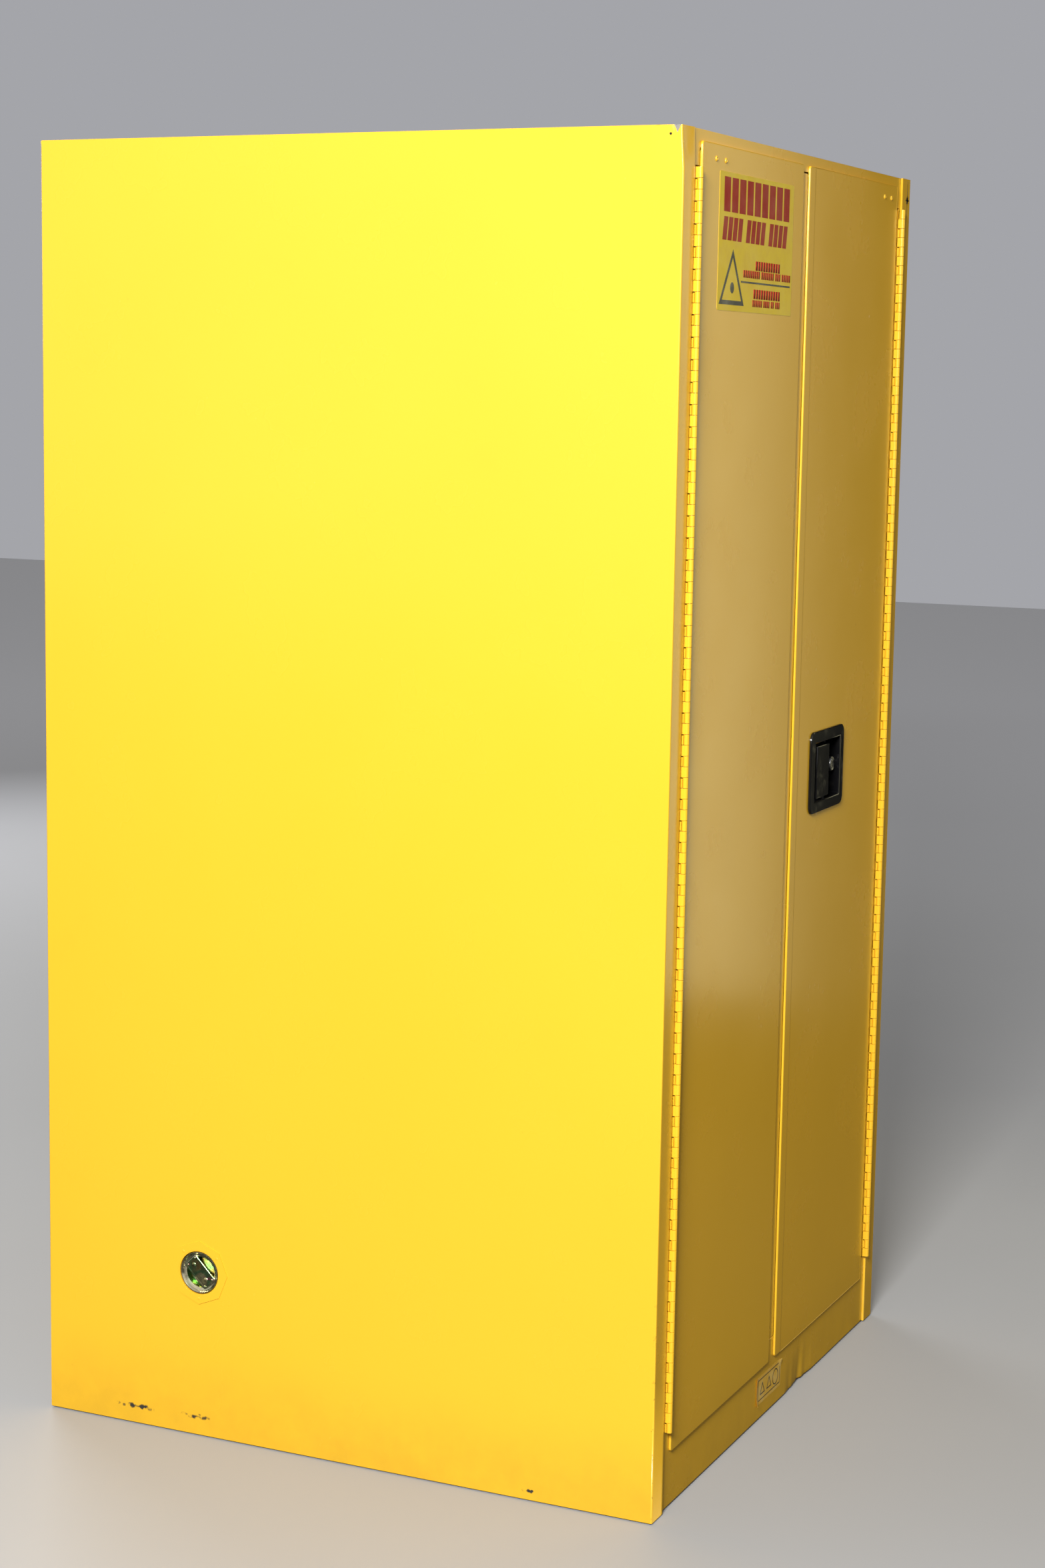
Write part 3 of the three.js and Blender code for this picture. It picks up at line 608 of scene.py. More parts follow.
def left_side_panel():
    """The left side, wrapped round into a stile, with its knocked top front corner."""
    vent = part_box("left_vent_housing")
    around_vent = [(1, vent[0][1] - MM), (1, vent[1][1] + MM), (2, vent[0][2] - MM), (2, vent[1][2] + MM)]
    mesh = folded_copy("left_side_panel", cuts=around_vent)
    slice_at(mesh, 2, steps(TOP - 90 * MM, TOP - 16 * MM, 8) + steps(TOP - 14 * MM, TOP - 1 * MM, 11))
    slice_at(mesh, 1, steps(FRONT + 2 * MM, FRONT + 14 * MM, 13))
    slice_at(mesh, 1, steps(FRONT + 18 * MM, FRONT + 40 * MM, 5))
    slice_at(mesh, 0, steps(-SIDE + 4 * MM, -SIDE + 30 * MM, 7))
    for vert in mesh.verts:
        across = abs(vert.co.y - NICK["y"]) / NICK["half_width"]
        down = (TOP - vert.co.z) / NICK["depth"]
        if vert.co.x < -SIDE + 2 * MM and across + down < 1.0:
            vert.co.x += 0.7 * MM * (1.0 - across - down)
    dent(mesh, (-SIDE, FRONT, TOP + 4 * MM), 60 * MM, (0.9 * MM, 3.4 * MM, 0.0))
    for place, depth in ((26, 0.7), (44, -0.5), (58, 0.6)):
        dent(mesh, (-SIDE + 12 * MM, FRONT, TOP - place * MM), 13 * MM, (0.0, depth * MM, 0.0))
    # a flat black disc here is painted shade for a small hole; the panel is not cut
    small_hole_shade((-SIDE, FRONT + 17 * MM, TOP - 10 * MM))
    return piece("side_panel_left", mesh, CABINET, PAINT, ["left_side_panel"])


def small_hole_shade(place):
    """The open end of a small hole, drawn as a flat black disc: painted shade for the dark inside of the
    hole.
    """
    mesh = bmesh.new()
    turn = Matrix.Translation(place) @ Matrix.Rotation(-math.pi / 2, 4, "Y")
    bmesh.ops.create_cone(
        mesh, cap_ends=True, segments=16, radius1=1.4 * MM, radius2=1.3 * MM, depth=0.4 * MM, matrix=turn,
    )
    piece("small_hole_shade", mesh, CABINET, BLACK)


ROLL = 2 * MM


def header_rail():
    """The rail above the doors. Its front rolls over into the top, where the top panel starts."""
    mesh = folded_copy("header_rail", fold=0.0)
    lift = TOP - 0.1 * MM - high("header_rail")[2]
    for vert in mesh.verts:
        if vert.co.z > high("header_rail")[2] - 0.6 * MM:
            vert.co.z += lift
    face = low("header_rail")[1]
    along_front = edges_where(
        mesh, lambda a, b: min(a.z, b.z) > TOP - 0.8 * MM and max(a.y, b.y) < face + 0.7 * MM
        and abs(a.x - b.x) > 10 * MM)
    bevel(mesh, [max(along_front, key=lambda edge: edge.verts[0].co.z)], ROLL, 6)
    piece("header_rail_rolled", mesh, CABINET, PAINT, ["header_rail"])


def top_panel():
    mesh = folded_copy("top_panel")
    edge = low("top_panel")[1]
    for vert in mesh.verts:
        if vert.co.y < edge + 1.5 * MM:
            vert.co.y = max(vert.co.y, edge + 1.6 * MM)
    piece("top_panel_seated", mesh, CABINET, PAINT, ["top_panel"])


def kick_rail():
    """The rail below the doors, its lower edge bent where something struck it."""
    mesh = folded_copy("kick_rail")
    slice_at(mesh, 0, steps(46 * MM, 178 * MM, 27))
    slice_at(mesh, 2, steps(10 * MM, 66 * MM, 8))
    for vert in mesh.verts:
        x, y, z = vert.co
        across = (x - 112 * MM) / (60 * MM)
        if abs(across) < 1.0 and z < 70 * MM and y < RAIL_FACE + 12 * MM:
            reach = (1.0 - across * across) ** 2 * (1.0 - z / (70 * MM)) ** 1.5
            ripple = math.cos(across * 9.0) * 0.35 + math.sin(across * 17.0) * 0.2
            vert.co.y += (2.6 * MM + 2.4 * MM * ripple) * reach
            vert.co.z += (1.2 * MM + 1.2 * MM * ripple) * reach
    return piece("kick_rail_dented", mesh, CABINET, PAINT, ["kick_rail"])


def plain_sheets():
    """Every other folded sheet of the carcass and the doors, with its folds rounded."""
    done = {"left_side_panel", "kick_rail", "header_rail", "top_panel", "left_door_face", *RIGHT_FACE}
    done |= {f"{side}_hinge_{leaf}_leaf" for side in ("left", "right") for leaf in ("frame", "door")}
    done |= {"left_vent_housing", "right_vent_housing"}
    for entry in frame["record"]["subparts"]:
        node, slot = entry["node"], entry["material_slot"]
        if slot in ("yellow_paint", "galvanised_steel") and node not in done:
            mesh = folded_copy(node)
            piece(f"{node}_folded", mesh, body_of_node(node), BY_SLOT[slot], [node])


# ---- doors --------------------------------------------------------------------------------------

FOLD = 1.1 * MM
DOOR_CORNER = 4.5 * MM


def door_pan(lowest, highest):
    """The front face with its four folded edges, as a single skin without thickness yet."""
    mesh = bmesh.new()
    block(mesh, lowest, highest)
    corners = edges_where(mesh, lambda a, b: abs(a.y - b.y) > MM)
    bevel(mesh, corners, DOOR_CORNER, 6)
    back = [f for f in mesh.faces if f.calc_center_median().y > highest[1] - 0.1 * MM]
    bmesh.ops.delete(mesh, geom=back, context="FACES_ONLY")
    rim = edges_where(mesh, lambda a, b: max(a.y, b.y) < lowest[1] + 0.1 * MM)
    bevel(mesh, rim, FOLD, 4)
    return mesh


def front_outward(mesh):
    """Turns the faces so that the foremost one looks forwards."""
    bmesh.ops.recalc_face_normals(mesh, faces=mesh.faces)
    front = min(mesh.faces, key=lambda f: f.calc_center_median().y)
    if front.normal.y > 0:
        bmesh.ops.reverse_faces(mesh, faces=mesh.faces)


def thickened(mesh):
    front_outward(mesh)
    bmesh.ops.solidify(mesh, geom=mesh.faces, thickness=SHEET)


def left_door_face():
    lowest, highest = low("left_door_face"), high("left_door_face")
    free_edge = -21 * MM
    back = FRONT + 2.7 * MM
    mesh = door_pan((lowest[0], FRONT, lowest[2]), (free_edge, back, highest[2]))
    thickened(mesh)
    tray_low, tray_high = low("left_door_tray")[2] - 2 * MM, high("left_door_tray")[2] + 1 * MM
    block(mesh, (free_edge - SHEET, FRONT + 2.2 * MM, tray_low), (free_edge, highest[1], tray_high))
    block(mesh, (free_edge - SHEET, highest[1] - SHEET, tray_low), (highest[0], highest[1], tray_high))
    slice_at(mesh, 2, steps(1.40, 1.62, 12))
    dent(mesh, (-120 * MM, FRONT, 1.625), 26 * MM, (0, 0.5 * MM, 0))
    return piece("door_face_left", mesh, LEFT_DOOR, PAINT, ["left_door_face"])


def right_door_face():
    """The right-hand pan: an overlap strip down its free edge and the opening for the handle."""
    lowest, highest = low(RIGHT_FACE[0]), high(RIGHT_FACE[-1])
    mesh = door_pan(lowest, highest)
    strip_edge = 25 * MM
    slice_at(mesh, 0, [strip_edge - 1.2 * MM, strip_edge + 1.2 * MM])
    dish_low, dish_high = low("handle_dish"), high("handle_dish")
    margin = 14 * MM
    sides = (dish_low[0] + margin, dish_high[0] - margin)
    ends = (dish_low[2] + margin - 2 * MM, dish_high[2] - margin + 1 * MM)
    slice_at(mesh, 0, sides)
    slice_at(mesh, 2, ends)
    opening = [
        face for face in mesh.faces
        if sides[0] < face.calc_center_median().x < sides[1]
        and ends[0] < face.calc_center_median().z < ends[1]
        and face.calc_center_median().y < FRONT + 0.2 * MM
    ]
    bmesh.ops.delete(mesh, geom=opening, context="FACES")
    for vert in mesh.verts:
        if vert.co.x > strip_edge and vert.co.y < FRONT + 0.2 * MM:
            vert.co.y += 0.45 * MM
    thickened(mesh)
    return piece("door_face_right", mesh, RIGHT_DOOR, PAINT, RIGHT_FACE)


def rivet(mesh, place, normal, radius, height):
    """A domed head on a face: a half ball flattened along the face's normal."""
    turn = Vector((0, 0, 1)).rotation_difference(Vector(normal)).to_matrix().to_4x4()
    stretch = Matrix.Diagonal((radius, radius, height, 1.0))
    matrix = Matrix.Translation(place) @ turn @ stretch
    made = bmesh.ops.create_uvsphere(mesh, u_segments=20, v_segments=12, radius=1.0, matrix=matrix)
    return made["verts"]


def stay_rivets():
    """Two rivets near the top of each door: low heads with a dimple in the middle."""
    head = [(0.0, 0.35), (0.8, 0.4), (1.4, 1.25), (2.2, 1.3), (3.0, 0.85), (3.4, -0.2), (0.0, -0.2)]
    for body, name, places, z in (
        (LEFT_DOOR, "left_stay_rivets", (-330 * MM, -299 * MM), 1.621),
        (RIGHT_DOOR, "right_stay_rivets", (317 * MM, 347 * MM), 1.6205),
    ):
        mesh = bmesh.new()
        face = FRONT + (0.45 * MM if body == RIGHT_DOOR else 0.0)
        for x in places:
            one = bmesh.new()
            spun(one, [(r * MM, z * MM) for r, z in head], 24)
            place = Matrix.Translation((x, face, z)) @ Matrix.Rotation(math.pi / 2, 4, "X")
            bmesh.ops.transform(one, matrix=place, verts=one.verts)
            add(mesh, one)
        piece(name, mesh, body, PAINT)


def marker_strokes():
    """A cross that somebody drew in black marker at the top of the right stile."""
    mesh = bmesh.new()
    middle = Vector((SIDE - 13 * MM, FRONT - 0.04 * MM, TOP - 29 * MM))
    strokes = ((0.0, 27.0, 1.6), (90.0, 7.5, 3.4), (0.0, 7.0, 4.6), (42.0, 7.0, 2.0), (-48.0, 6.5, 1.8))
    for lean, half, width in strokes:
        stroke = bmesh.new()
        bmesh.ops.create_cone(
            stroke, cap_ends=True, segments=18, radius1=1.0, radius2=1.0, depth=0.05 * MM)
        place = Matrix.Translation(middle) @ Matrix.Rotation(math.radians(lean), 4, "Y")
        place = place @ Matrix.Rotation(math.pi / 2, 4, "X")
        place = place @ Matrix.Diagonal((width / 2 * MM, half * MM, 1.0, 1.0))
        bmesh.ops.transform(stroke, matrix=place, verts=stroke.verts)
        add(mesh, stroke)
    bmesh.ops.recalc_face_normals(mesh, faces=mesh.faces)
    piece("marker_strokes", mesh, CABINET, MARKER)


# ---- hinges -------------------------------------------------------------------------------------

HINGE_KNUCKLES = 118
BARREL_R = 3.5 * MM


def knuckle(mesh, length, plate_x, plate_start):
    """One knuckle on the Z axis: an eased tube and the strap that joins it to the leaf's plate."""
    bore, ease = 1.9 * MM, 0.25 * MM
    profile = [
        (bore, 0.0), (BARREL_R - ease, 0.0), (BARREL_R, ease),
        (BARREL_R, length - ease), (BARREL_R - ease, length), (bore, length),
    ]
    verts = [mesh.verts.new((r, 0.0, z)) for r, z in profile]
    loop = [mesh.edges.new(pair) for pair in zip(verts, verts[1:] + verts[:1])]
    bmesh.ops.spin(
        mesh, geom=[*verts, *loop], cent=(0, 0, 0), axis=(0, 0, 1), angle=math.tau,
        steps=14, use_merge=True, use_duplicate=False,
    )
    block(mesh, (plate_x[0], 0.6 * MM, 0.0), (plate_x[1], plate_start + 0.8 * MM, length))


def hinge_leaf(side_name, leaf, body):
    """A leaf of the continuous hinge: half inch knuckles, and a plate cut close round the other leaf's."""
    node = f"{side_name}_hinge_{leaf}_leaf"
    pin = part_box(f"{side_name}_hinge_pin")
    axis_x, axis_y = (pin[0][0] + pin[1][0]) / 2, (pin[0][1] + pin[1][1]) / 2
    bottom, top = pin[0][2], pin[1][2]
    outer = 1 if side_name == "right" else -1
    side = outer if leaf == "frame" else -outer
    plate_x = (2.3 * MM, BARREL_R) if side > 0 else (-BARREL_R, -2.3 * MM)
    plate_start, plate_end = 5.4 * MM, high(node)[1] - axis_y
    pitch = (top - bottom) / HINGE_KNUCKLES
    gap, notch = 0.4 * MM, 1.5 * MM
    first = 1 if leaf == "frame" else 0
    mesh = bmesh.new()
    knuckle(mesh, pitch - gap, plate_x, plate_start)
    block(
        mesh, (plate_x[0], 2.9 * MM, -pitch + gap), (plate_x[1], plate_start + 0.4 * MM, -notch))
    outward(mesh)
    bmesh.ops.translate(mesh, verts=mesh.verts, vec=(0, 0, gap / 2))
    source = [*mesh.verts, *mesh.edges, *mesh.faces]
    for i in range(first + 2, HINGE_KNUCKLES, 2):
        copy = bmesh.ops.duplicate(mesh, geom=source)["geom"]
        verts = [g for g in copy if isinstance(g, bmesh.types.BMVert)]
        bmesh.ops.translate(mesh, verts=verts, vec=(0, 0, i * pitch))
    own = [g for g in source if isinstance(g, bmesh.types.BMVert)]
    bmesh.ops.translate(mesh, verts=own, vec=(0, 0, first * pitch))
    if leaf == "door":
        below = [v for v in mesh.verts if v.co.z < -1e-6]
        bmesh.ops.delete(mesh, geom=below, context="VERTS")
    block(mesh, (plate_x[0], plate_start, 0.0), (plate_x[1], plate_end, top - bottom))
    bmesh.ops.translate(mesh, verts=mesh.verts, vec=(axis_x, axis_y, bottom))
    piece(f"{side_name}_{leaf}_leaf_fine", mesh, body, PAINT, [node])


def hinges():
    for side_name, door in (("left", LEFT_DOOR), ("right", RIGHT_DOOR)):
        hinge_leaf(side_name, "frame", CABINET)
        hinge_leaf(side_name, "door", door)


# ---- vents --------------------------------------------------------------------------------------

def spun(mesh, profile, sides):
    """A turned shape about Z from (radius, height) points that start and end on the axis or close up."""
    closed = profile[0][0] > 0
    verts = [mesh.verts.new((r, 0.0, z)) for r, z in profile]
    pairs = list(zip(verts, verts[1:]))
    if closed:
        pairs.append((verts[-1], verts[0]))
    loop = [mesh.edges.new(pair) for pair in pairs]
    bmesh.ops.spin(
        mesh, geom=[*verts, *loop], cent=(0, 0, 0), axis=(0, 0, 1), angle=math.tau,
        steps=sides, use_merge=True, use_duplicate=False,
    )
    outward(mesh)


POP_RIVET = [(0.0, -1.0), (0.6, -0.9), (0.75, 0.3), (1.3, 0.35), (2.0, 0.0), (0.0, -1.2)]


def vent_plate(side_name):
    """An eight-sided plate with a lipped round hole, its tube, and rivet heads."""
    place = vent_place(side_name)
    mesh = bmesh.new()
    tube = [(28.5, 0.9), (30.2, 0.9), (30.2, 0.2), (30.0, -41.2), (28.5, -41.2)]
    spun(mesh, [(r * MM, z * MM) for r, z in tube], 48)
    ring = bmesh.ops.create_circle(mesh, cap_ends=False, radius=42 * MM, segments=8)["verts"]
    inner = bmesh.ops.create_circle(mesh, cap_ends=False, radius=30 * MM, segments=48)["verts"]
    rings = {v: True for v in (*ring, *inner)}
    edges = [e for e in mesh.edges if all(v in rings for v in e.verts)]
    bmesh.ops.bridge_loops(mesh, edges=edges)
    flat = [f for f in mesh.faces if all(v in rings for v in f.verts)]
    raised = bmesh.ops.extrude_face_region(mesh, geom=flat)["geom"]
    top = [g for g in raised if isinstance(g, bmesh.types.BMVert)]
    bmesh.ops.translate(mesh, verts=top, vec=(0, 0, 1.0 * MM))
    lift = [v for v in mesh.verts if v in rings or v in top]
    bmesh.ops.translate(mesh, verts=lift, vec=(0, 0, 0.15 * MM))
    bmesh.ops.recalc_face_normals(mesh, faces=mesh.faces)
    for angle in (90, 220, 312):
        turn = math.radians(angle)
        one = bmesh.new()
        spun(one, [(r * MM, z * MM) for r, z in POP_RIVET], 16)
        spot = (-34.5 * MM * math.sin(turn), 34.5 * MM * math.cos(turn), 1.1 * MM)
        bmesh.ops.translate(one, verts=one.verts, vec=spot)
        add(mesh, one)
    bmesh.ops.transform(mesh, matrix=place, verts=mesh.verts)
    piece(f"{side_name}_vent_plate", mesh, CABINET, PAINT, [f"{side_name}_vent_housing"])


def vent_bung(side_name):
    """A pressed steel bung: a lipped, stepped bowl with a wide bar across it and a pip at each end."""
    place = vent_place(side_name)
    mesh = bmesh.new()
    bowl = [
        (0.0, -10.0), (15.0, -10.0), (17.8, -9.2), (19.6, -6.4), (20.6, -3.4), (22.6, -2.6), (24.2, -2.2),
        (25.2, -0.6), (26.2, 0.5), (27.2, 0.5), (27.8, -0.4), (27.8, -14.0), (26.4, -14.0), (26.4, -4.4),
        (22.6, -4.6), (20.8, -9.0), (18.0, -11.6), (0.0, -11.6),
    ]
    spun(mesh, [(r * MM, z * MM) for r, z in bowl], 56)
    bar = bmesh.new()
    block(bar, (-11.5 * MM, -21.5 * MM, -10.6 * MM), (11.5 * MM, 21.5 * MM, -1.2 * MM))
    upright = edges_where(bar, lambda a, b: abs(a.z - b.z) > MM)
    bevel(bar, upright, 3.5 * MM, 4)
    crown = edges_where(bar, lambda a, b: min(a.z, b.z) > -1.3 * MM)
    bevel(bar, crown, 1.5 * MM, 3)
    roof = max(bar.faces, key=lambda f: f.calc_center_median().z + f.calc_area())
    bmesh.ops.inset_region(bar, faces=[roof], thickness=1.3 * MM, depth=0.0)
    bmesh.ops.translate(bar, verts=list(roof.verts), vec=(0, 0, -0.3 * MM))
    for end in (-1, 1):
        for across, along, size in ((0.0, 12.5, 3.6), (-7.2, 18.0, 1.9), (7.2, 18.0, 1.9)):
            spot = (across * MM, end * along * MM, -2.2 * MM)
            rivet(bar, spot, (0, 0, 1), size * MM, 1.9 * MM)
    bmesh.ops.rotate(bar, cent=(0, 0, 0), matrix=Matrix.Rotation(-math.pi / 4, 3, "Z"), verts=bar.verts)
    add(mesh, bar)
    bmesh.ops.transform(mesh, matrix=place, verts=mesh.verts)
    body = f"{side_name}_vent_bung"
    piece(f"{side_name}_bung", mesh, body, CHROMATE, [body])


# ---- handle -------------------------------------------------------------------------------------

def handle_dish():
    """A flat-rimmed dish let into the door, with soft moulded edges."""
    lowest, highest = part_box("handle_dish")
    rim_back = FRONT - 0.3 * MM + 0.45 * MM
    mesh = bmesh.new()
    block(mesh, (lowest[0], lowest[1], lowest[2]), (highest[0], rim_back, highest[2]))
    bevel(mesh, edges_where(mesh, lambda a, b: abs(a.y - b.y) > MM), 12 * MM, 8)
    bevel(mesh, edges_where(mesh, lambda a, b: max(a.y, b.y) < lowest[1] + 0.1 * MM), 1.1 * MM, 3)
    sides = (lowest[0] + 18 * MM, highest[0] - 16 * MM)
    ends = (lowest[2] + 15 * MM, highest[2] - 16 * MM)
    slice_at(mesh, 0, sides)
    slice_at(mesh, 2, ends)
    centre = [
        face for face in mesh.faces
        if face.normal.y < -0.9 and sides[0] < face.calc_center_median().x < sides[1]
        and ends[0] < face.calc_center_median().z < ends[1]
    ]
    back = [
        face for face in mesh.faces
        if face.normal.y > 0.9 and sides[0] < face.calc_center_median().x < sides[1]
        and ends[0] < face.calc_center_median().z < ends[1]
    ]
    bmesh.ops.delete(mesh, geom=back, context="FACES")
    depth = highest[1] - 2 * MM - lowest[1]
    inner = bmesh.ops.extrude_face_region(mesh, geom=centre)["geom"]
    floor = [g for g in inner if isinstance(g, bmesh.types.BMVert)]
    bmesh.ops.translate(mesh, verts=floor, vec=(0, depth, 0))
    bmesh.ops.delete(mesh, geom=[f for f in centre if f.is_valid], context="FACES")
    lip = edges_where(
        mesh, lambda a, b: max(a.y, b.y) < lowest[1] + 0.05 * MM
        and all(sides[0] - MM < p.x < sides[1] + MM and ends[0] - MM < p.z < ends[1] + MM for p in (a, b)))
    bevel(mesh, lip, 1.4 * MM, 4)
    walls = edges_where(
        mesh, lambda a, b: min(a.y, b.y) > lowest[1] + depth - 0.1 * MM
        or (abs(a.y - b.y) > 5 * MM))
    bevel(mesh, walls, 2.0 * MM, 3)
    shell_low = (sides[0] - 2 * MM, rim_back, ends[0] - 2 * MM)
    shell_high = (sides[1] + 2 * MM, highest[1], ends[1] + 2 * MM)
    outer = block(mesh, shell_low, shell_high)
    face = [f for f in mesh.faces if all(v in set(outer) for v in f.verts) and f.normal.y < -0.9]
    bmesh.ops.delete(mesh, geom=face, context="FACES_ONLY")
    front_outward(mesh)
    piece("handle_dish_moulded", mesh, RIGHT_DOOR, BLACK, ["handle_dish"])


def paddle():
    """The pull: a flat plate with soft edges, a rolled grip on the right and a hinge boss on the left."""
    lowest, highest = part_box("paddle")
    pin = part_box("paddle_pin")
    pivot = ((pin[0][0] + pin[1][0]) / 2, (pin[0][1] + pin[1][1]) / 2)
    front = lowest[1]
    plate_back = front + 4 * MM
    mesh = bmesh.new()
    block(mesh, (pivot[0] + 1 * MM, front, lowest[2]), (highest[0], plate_back, highest[2]))
    slice_at(mesh, 0, [highest[0] - 5 * MM])
    grip = [
        f for f in mesh.faces
        if f.normal.y > 0.9 and f.calc_center_median().x > highest[0] - 5 * MM
    ]
    pulled = bmesh.ops.extrude_face_region(mesh, geom=grip)["geom"]
    bmesh.ops.translate(
        mesh, verts=[g for g in pulled if isinstance(g, bmesh.types.BMVert)], vec=(0, 4 * MM, 0))
    bmesh.ops.delete(mesh, geom=[f for f in grip if f.is_valid], context="FACES")
    bevel(mesh, [e for e in mesh.edges if e.calc_face_angle(0.0) > 0.7 and e.is_convex], 1.2 * MM, 3)
    for start, end in ((lowest[2], LOCK_Z - 11 * MM), (LOCK_Z + 5 * MM, highest[2])):
        middle = Matrix.Translation((*pivot, (start + end) / 2))
        bmesh.ops.create_cone(
            mesh, cap_ends=True, segments=24, radius1=4.3 * MM, radius2=4.3 * MM,
            depth=end - start, matrix=middle,
        )
    piece("paddle_moulded", mesh, "paddle", BLACK, ["paddle"])


LOCK_Z = (low("lock_plug")[2] + high("lock_plug")[2]) / 2


def lock():
    """The lock: a dished collar, and a plug whose key slot is a thin flat black bar, painted shade for the
    slot.
    """
    lowest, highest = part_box("lock_housing")
    centre = ((lowest[0] + highest[0]) / 2, lowest[1], (lowest[2] + highest[2]) / 2)
    face_out = Matrix.Translation(centre) @ Matrix.Rotation(math.pi / 2, 4, "X")
    depth = highest[1] - lowest[1]
    mesh = bmesh.new()
    collar = [(6.4, -0.6), (8.9, 0.0), (9.6, -0.4), (9.9, -1.2), (9.9, -depth / MM), (6.4, -depth / MM)]
    spun(mesh, [(r * MM, z * MM) for r, z in collar], 40)
    bmesh.ops.transform(mesh, matrix=face_out, verts=mesh.verts)
    piece("lock_collar", mesh, RIGHT_DOOR, LOCK_METAL, ["lock_housing"])

    mesh = bmesh.new()
    plug = [(0.0, -0.5), (5.5, -0.5), (6.0, -1.0), (6.0, -15.0), (0.0, -15.0)]
    spun(mesh, [(r * MM, z * MM) for r, z in plug], 40)
    bmesh.ops.transform(mesh, matrix=face_out, verts=mesh.verts)
    piece("lock_plug_face", mesh, "lock_plug", LOCK_METAL, ["lock_plug"])
    # the key slot: a thin black bar laid on the plug's face, painted shade standing in for a cut slot
    mesh = bmesh.new()
    block(mesh, (-0.75 * MM, -4.2 * MM, -0.5 * MM), (0.75 * MM, 4.2 * MM, -0.3 * MM))
    bmesh.ops.transform(mesh, matrix=face_out, verts=mesh.verts)
    piece("key_slot_shade", mesh, "lock_plug", BLACK)


# ---- labels -------------------------------------------------------------------------------------

LABEL = {"left": -317.5 * MM, "right": -58 * MM, "bottom": 1.449, "top": 1.609}


def label_x(u):
    return LABEL["left"] + u * (LABEL["right"] - LABEL["left"])


def label_z(v):
    return LABEL["top"] - v * (LABEL["top"] - LABEL["bottom"])


def plain_words(mesh, u, v, words, lean=0.0):
    """A row of plain upright blocks in groups, in place of a line of print."""
    y = (FRONT - 0.29 * MM, FRONT - 0.24 * MM)
    count = sum(words) + 0.7 * (len(words) - 1)
    pitch = (u[1] - u[0]) / count
    start = u[0]
    for word in words:
        for _ in range(word):
            verts = block(
                mesh, (label_x(start + 0.09 * pitch), y[0], label_z(v[1])),
                (label_x(start + 0.91 * pitch), y[1], label_z(v[0])))
            for vert in verts:
                vert.co.x += lean * (vert.co.z - label_z(v[1]))
            start += pitch
        start += 0.7 * pitch


def warning_label():
    """A yellow film with plain red blocks, a plain triangle and a rule. It carries no words."""
    mesh = bmesh.new()
    block(
        mesh, (LABEL["left"], FRONT - 0.26 * MM, LABEL["bottom"]),
        (LABEL["right"], FRONT - 0.02 * MM, LABEL["top"]))
    bevel(mesh, edges_where(mesh, lambda a, b: abs(a.y - b.y) > 0.1 * MM), 3 * MM, 5)
    piece("label_sheet", mesh, LEFT_DOOR, LABEL_FILM)

    mesh = bmesh.new()
    plain_words(mesh, (0.05, 0.95), (0.035, 0.285), (9,))
    plain_words(mesh, (0.04, 0.91), (0.32, 0.49), (4, 4, 4), 0.18)
    plain_words(mesh, (0.49, 0.83), (0.615, 0.685), (10,))
    plain_words(mesh, (0.33, 0.98), (0.69, 0.745), (9, 7, 3, 5))
    plain_words(mesh, (0.47, 0.84), (0.825, 0.895), (11,))
    plain_words(mesh, (0.46, 0.84), (0.905, 0.955), (6, 4, 2, 3))
    piece("label_blocks", mesh, LEFT_DOOR, LABEL_RED)

    mesh = bmesh.new()
    y = FRONT - 0.36 * MM
    outline = [(0.19, 0.55), (0.345, 0.955), (0.02, 0.955)]
    face = mesh.faces.new([mesh.verts.new((label_x(u), y, label_z(v))) for u, v in outline])
    mesh.normal_update()
    bmesh.ops.inset_region(
        mesh, faces=[face], thickness=5.2 * MM, use_even_offset=True, use_boundary=True)
    bmesh.ops.delete(mesh, geom=[face], context="FACES")
    ring = bmesh.ops.extrude_face_region(mesh, geom=list(mesh.faces))["geom"]
    bmesh.ops.translate(
        mesh, verts=[g for g in ring if isinstance(g, bmesh.types.BMVert)], vec=(0, 0.12 * MM, 0))
    disc = Matrix.Translation((label_x(0.187), FRONT - 0.3 * MM, label_z(0.83)))
    disc = disc @ Matrix.Rotation(math.pi / 2, 4, "X")
    bmesh.ops.create_cone(
        mesh, cap_ends=True, segments=32, radius1=6.5 * MM, radius2=6.5 * MM, depth=0.12 * MM, matrix=disc)
    block(mesh, (label_x(0.30), y, label_z(0.785)), (label_x(0.975), y + 0.12 * MM, label_z(0.772)))
    bmesh.ops.recalc_face_normals(mesh, faces=mesh.faces)
    piece("label_outline", mesh, LEFT_DOOR, LABEL_DARK)


def outline_ring(mesh, centre, sides, radius, width, start):
    """A flat outline of a regular shape, a little proud of the small label."""
    before = set(mesh.faces)
    spin = Matrix.Rotation(math.pi / 2, 4, "X") @ Matrix.Rotation(start, 4, "Z")
    place = Matrix.Translation(centre) @ spin
    made = bmesh.ops.create_circle(mesh, cap_ends=True, radius=radius, segments=sides, matrix=place)
    ring = made["verts"]
    face = next(f for f in mesh.faces if all(v in set(ring) for v in f.verts))
    mesh.normal_update()
    bmesh.ops.inset_region(
        mesh, faces=[face], thickness=width, use_even_offset=True, use_boundary=True)
    bmesh.ops.delete(mesh, geom=[face], context="FACES")
    outline = [f for f in mesh.faces if f not in before]
    bmesh.ops.solidify(mesh, geom=outline, thickness=0.06 * MM)


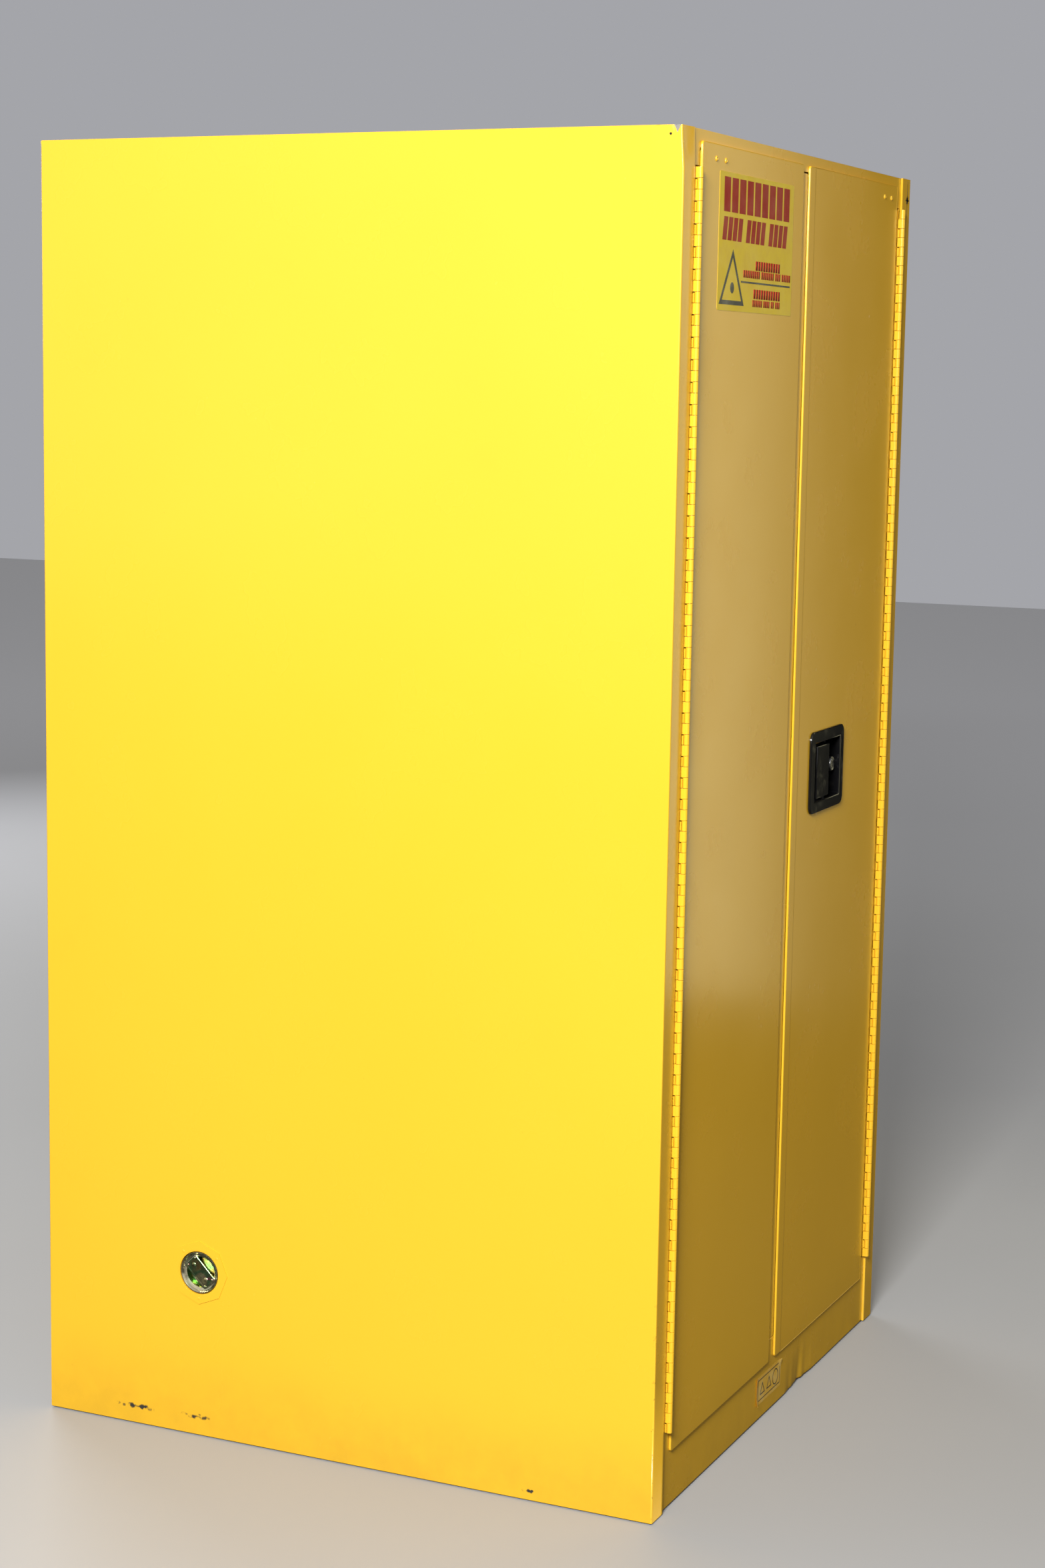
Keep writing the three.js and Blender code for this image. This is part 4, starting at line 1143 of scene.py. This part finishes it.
def kick_label():
    """A small film on the kick rail, curling at its corners, with three plain outlines in a frame."""
    left, right, bottom, top = -60 * MM, 37 * MM, 22 * MM, 60 * MM
    face = RAIL_FACE - 0.15 * MM
    middle = ((left + right) / 2, (bottom + top) / 2)
    mesh = bmesh.new()
    flat = Matrix.Translation((middle[0], face, middle[1])) @ Matrix.Rotation(math.pi / 2, 4, "X")
    flat = flat @ Matrix.Diagonal(((right - left) / 2, (top - bottom) / 2, 1.0, 1.0))
    bmesh.ops.create_grid(mesh, x_segments=36, y_segments=16, size=1.0, matrix=flat)
    for vert in mesh.verts:
        for corner_x, corner_z, lift in ((left, bottom, 2.4), (left, top, 0.9), (right, top, 2.0)):
            away = math.hypot(vert.co.x - corner_x, (vert.co.z - corner_z) * 0.8)
            if away < 11 * MM:
                vert.co.y -= lift * MM * (1.0 - away / (11 * MM)) ** 1.6
        edge = (vert.co.x - left) / (5 * MM)
        if edge < 1.0:
            vert.co.y -= 1.0 * MM * (1.0 - edge) ** 2
    bmesh.ops.recalc_face_normals(mesh, faces=mesh.faces)
    bmesh.ops.solidify(mesh, geom=mesh.faces, thickness=0.08 * MM)
    piece("kick_label_film", mesh, CABINET, CURLED_FILM)

    mesh = bmesh.new()
    ink = face - 0.12 * MM
    inset = 5 * MM
    width = 1.1 * MM
    for x in (left + inset + 2 * MM, right - inset):
        block(mesh, (x, ink, bottom + inset), (x + width, ink + 0.06 * MM, top - inset))
    for z in (bottom + inset, top - inset):
        block(mesh, (left + inset + 2 * MM, ink, z), (right - inset + width, ink + 0.06 * MM, z + width))
    for offset, sides, start in ((-24, 3, 0.0), (2, 3, 0.0), (27, 28, 0.0)):
        centre = (middle[0] + offset * MM, ink, middle[1] - (1.5 * MM if sides == 3 else 0.0))
        outline_ring(mesh, centre, sides, 11 * MM, 1.4 * MM, start)
    piece("kick_label_print", mesh, CABINET, LABEL_DARK)


# ---- everything ---------------------------------------------------------------------------------

def dress_the_rest():
    """CAD nodes whose shape stays as it is get their finish."""
    for entry in frame["record"]["subparts"]:
        node = frame["nodes"][entry["node"]]
        node.data.materials.clear()
        node.data.materials.append(BY_SLOT[entry["material_slot"]])


camera()
studio()
dress_the_rest()
plain_sheets()
left_side_panel()
header_rail()
top_panel()
kick_rail()
left_door_face()
right_door_face()
stay_rivets()
marker_strokes()
hinges()
for name in ("left", "right"):
    vent_plate(name)
    vent_bung(name)
handle_dish()
paddle()
lock()
warning_label()
kick_label()
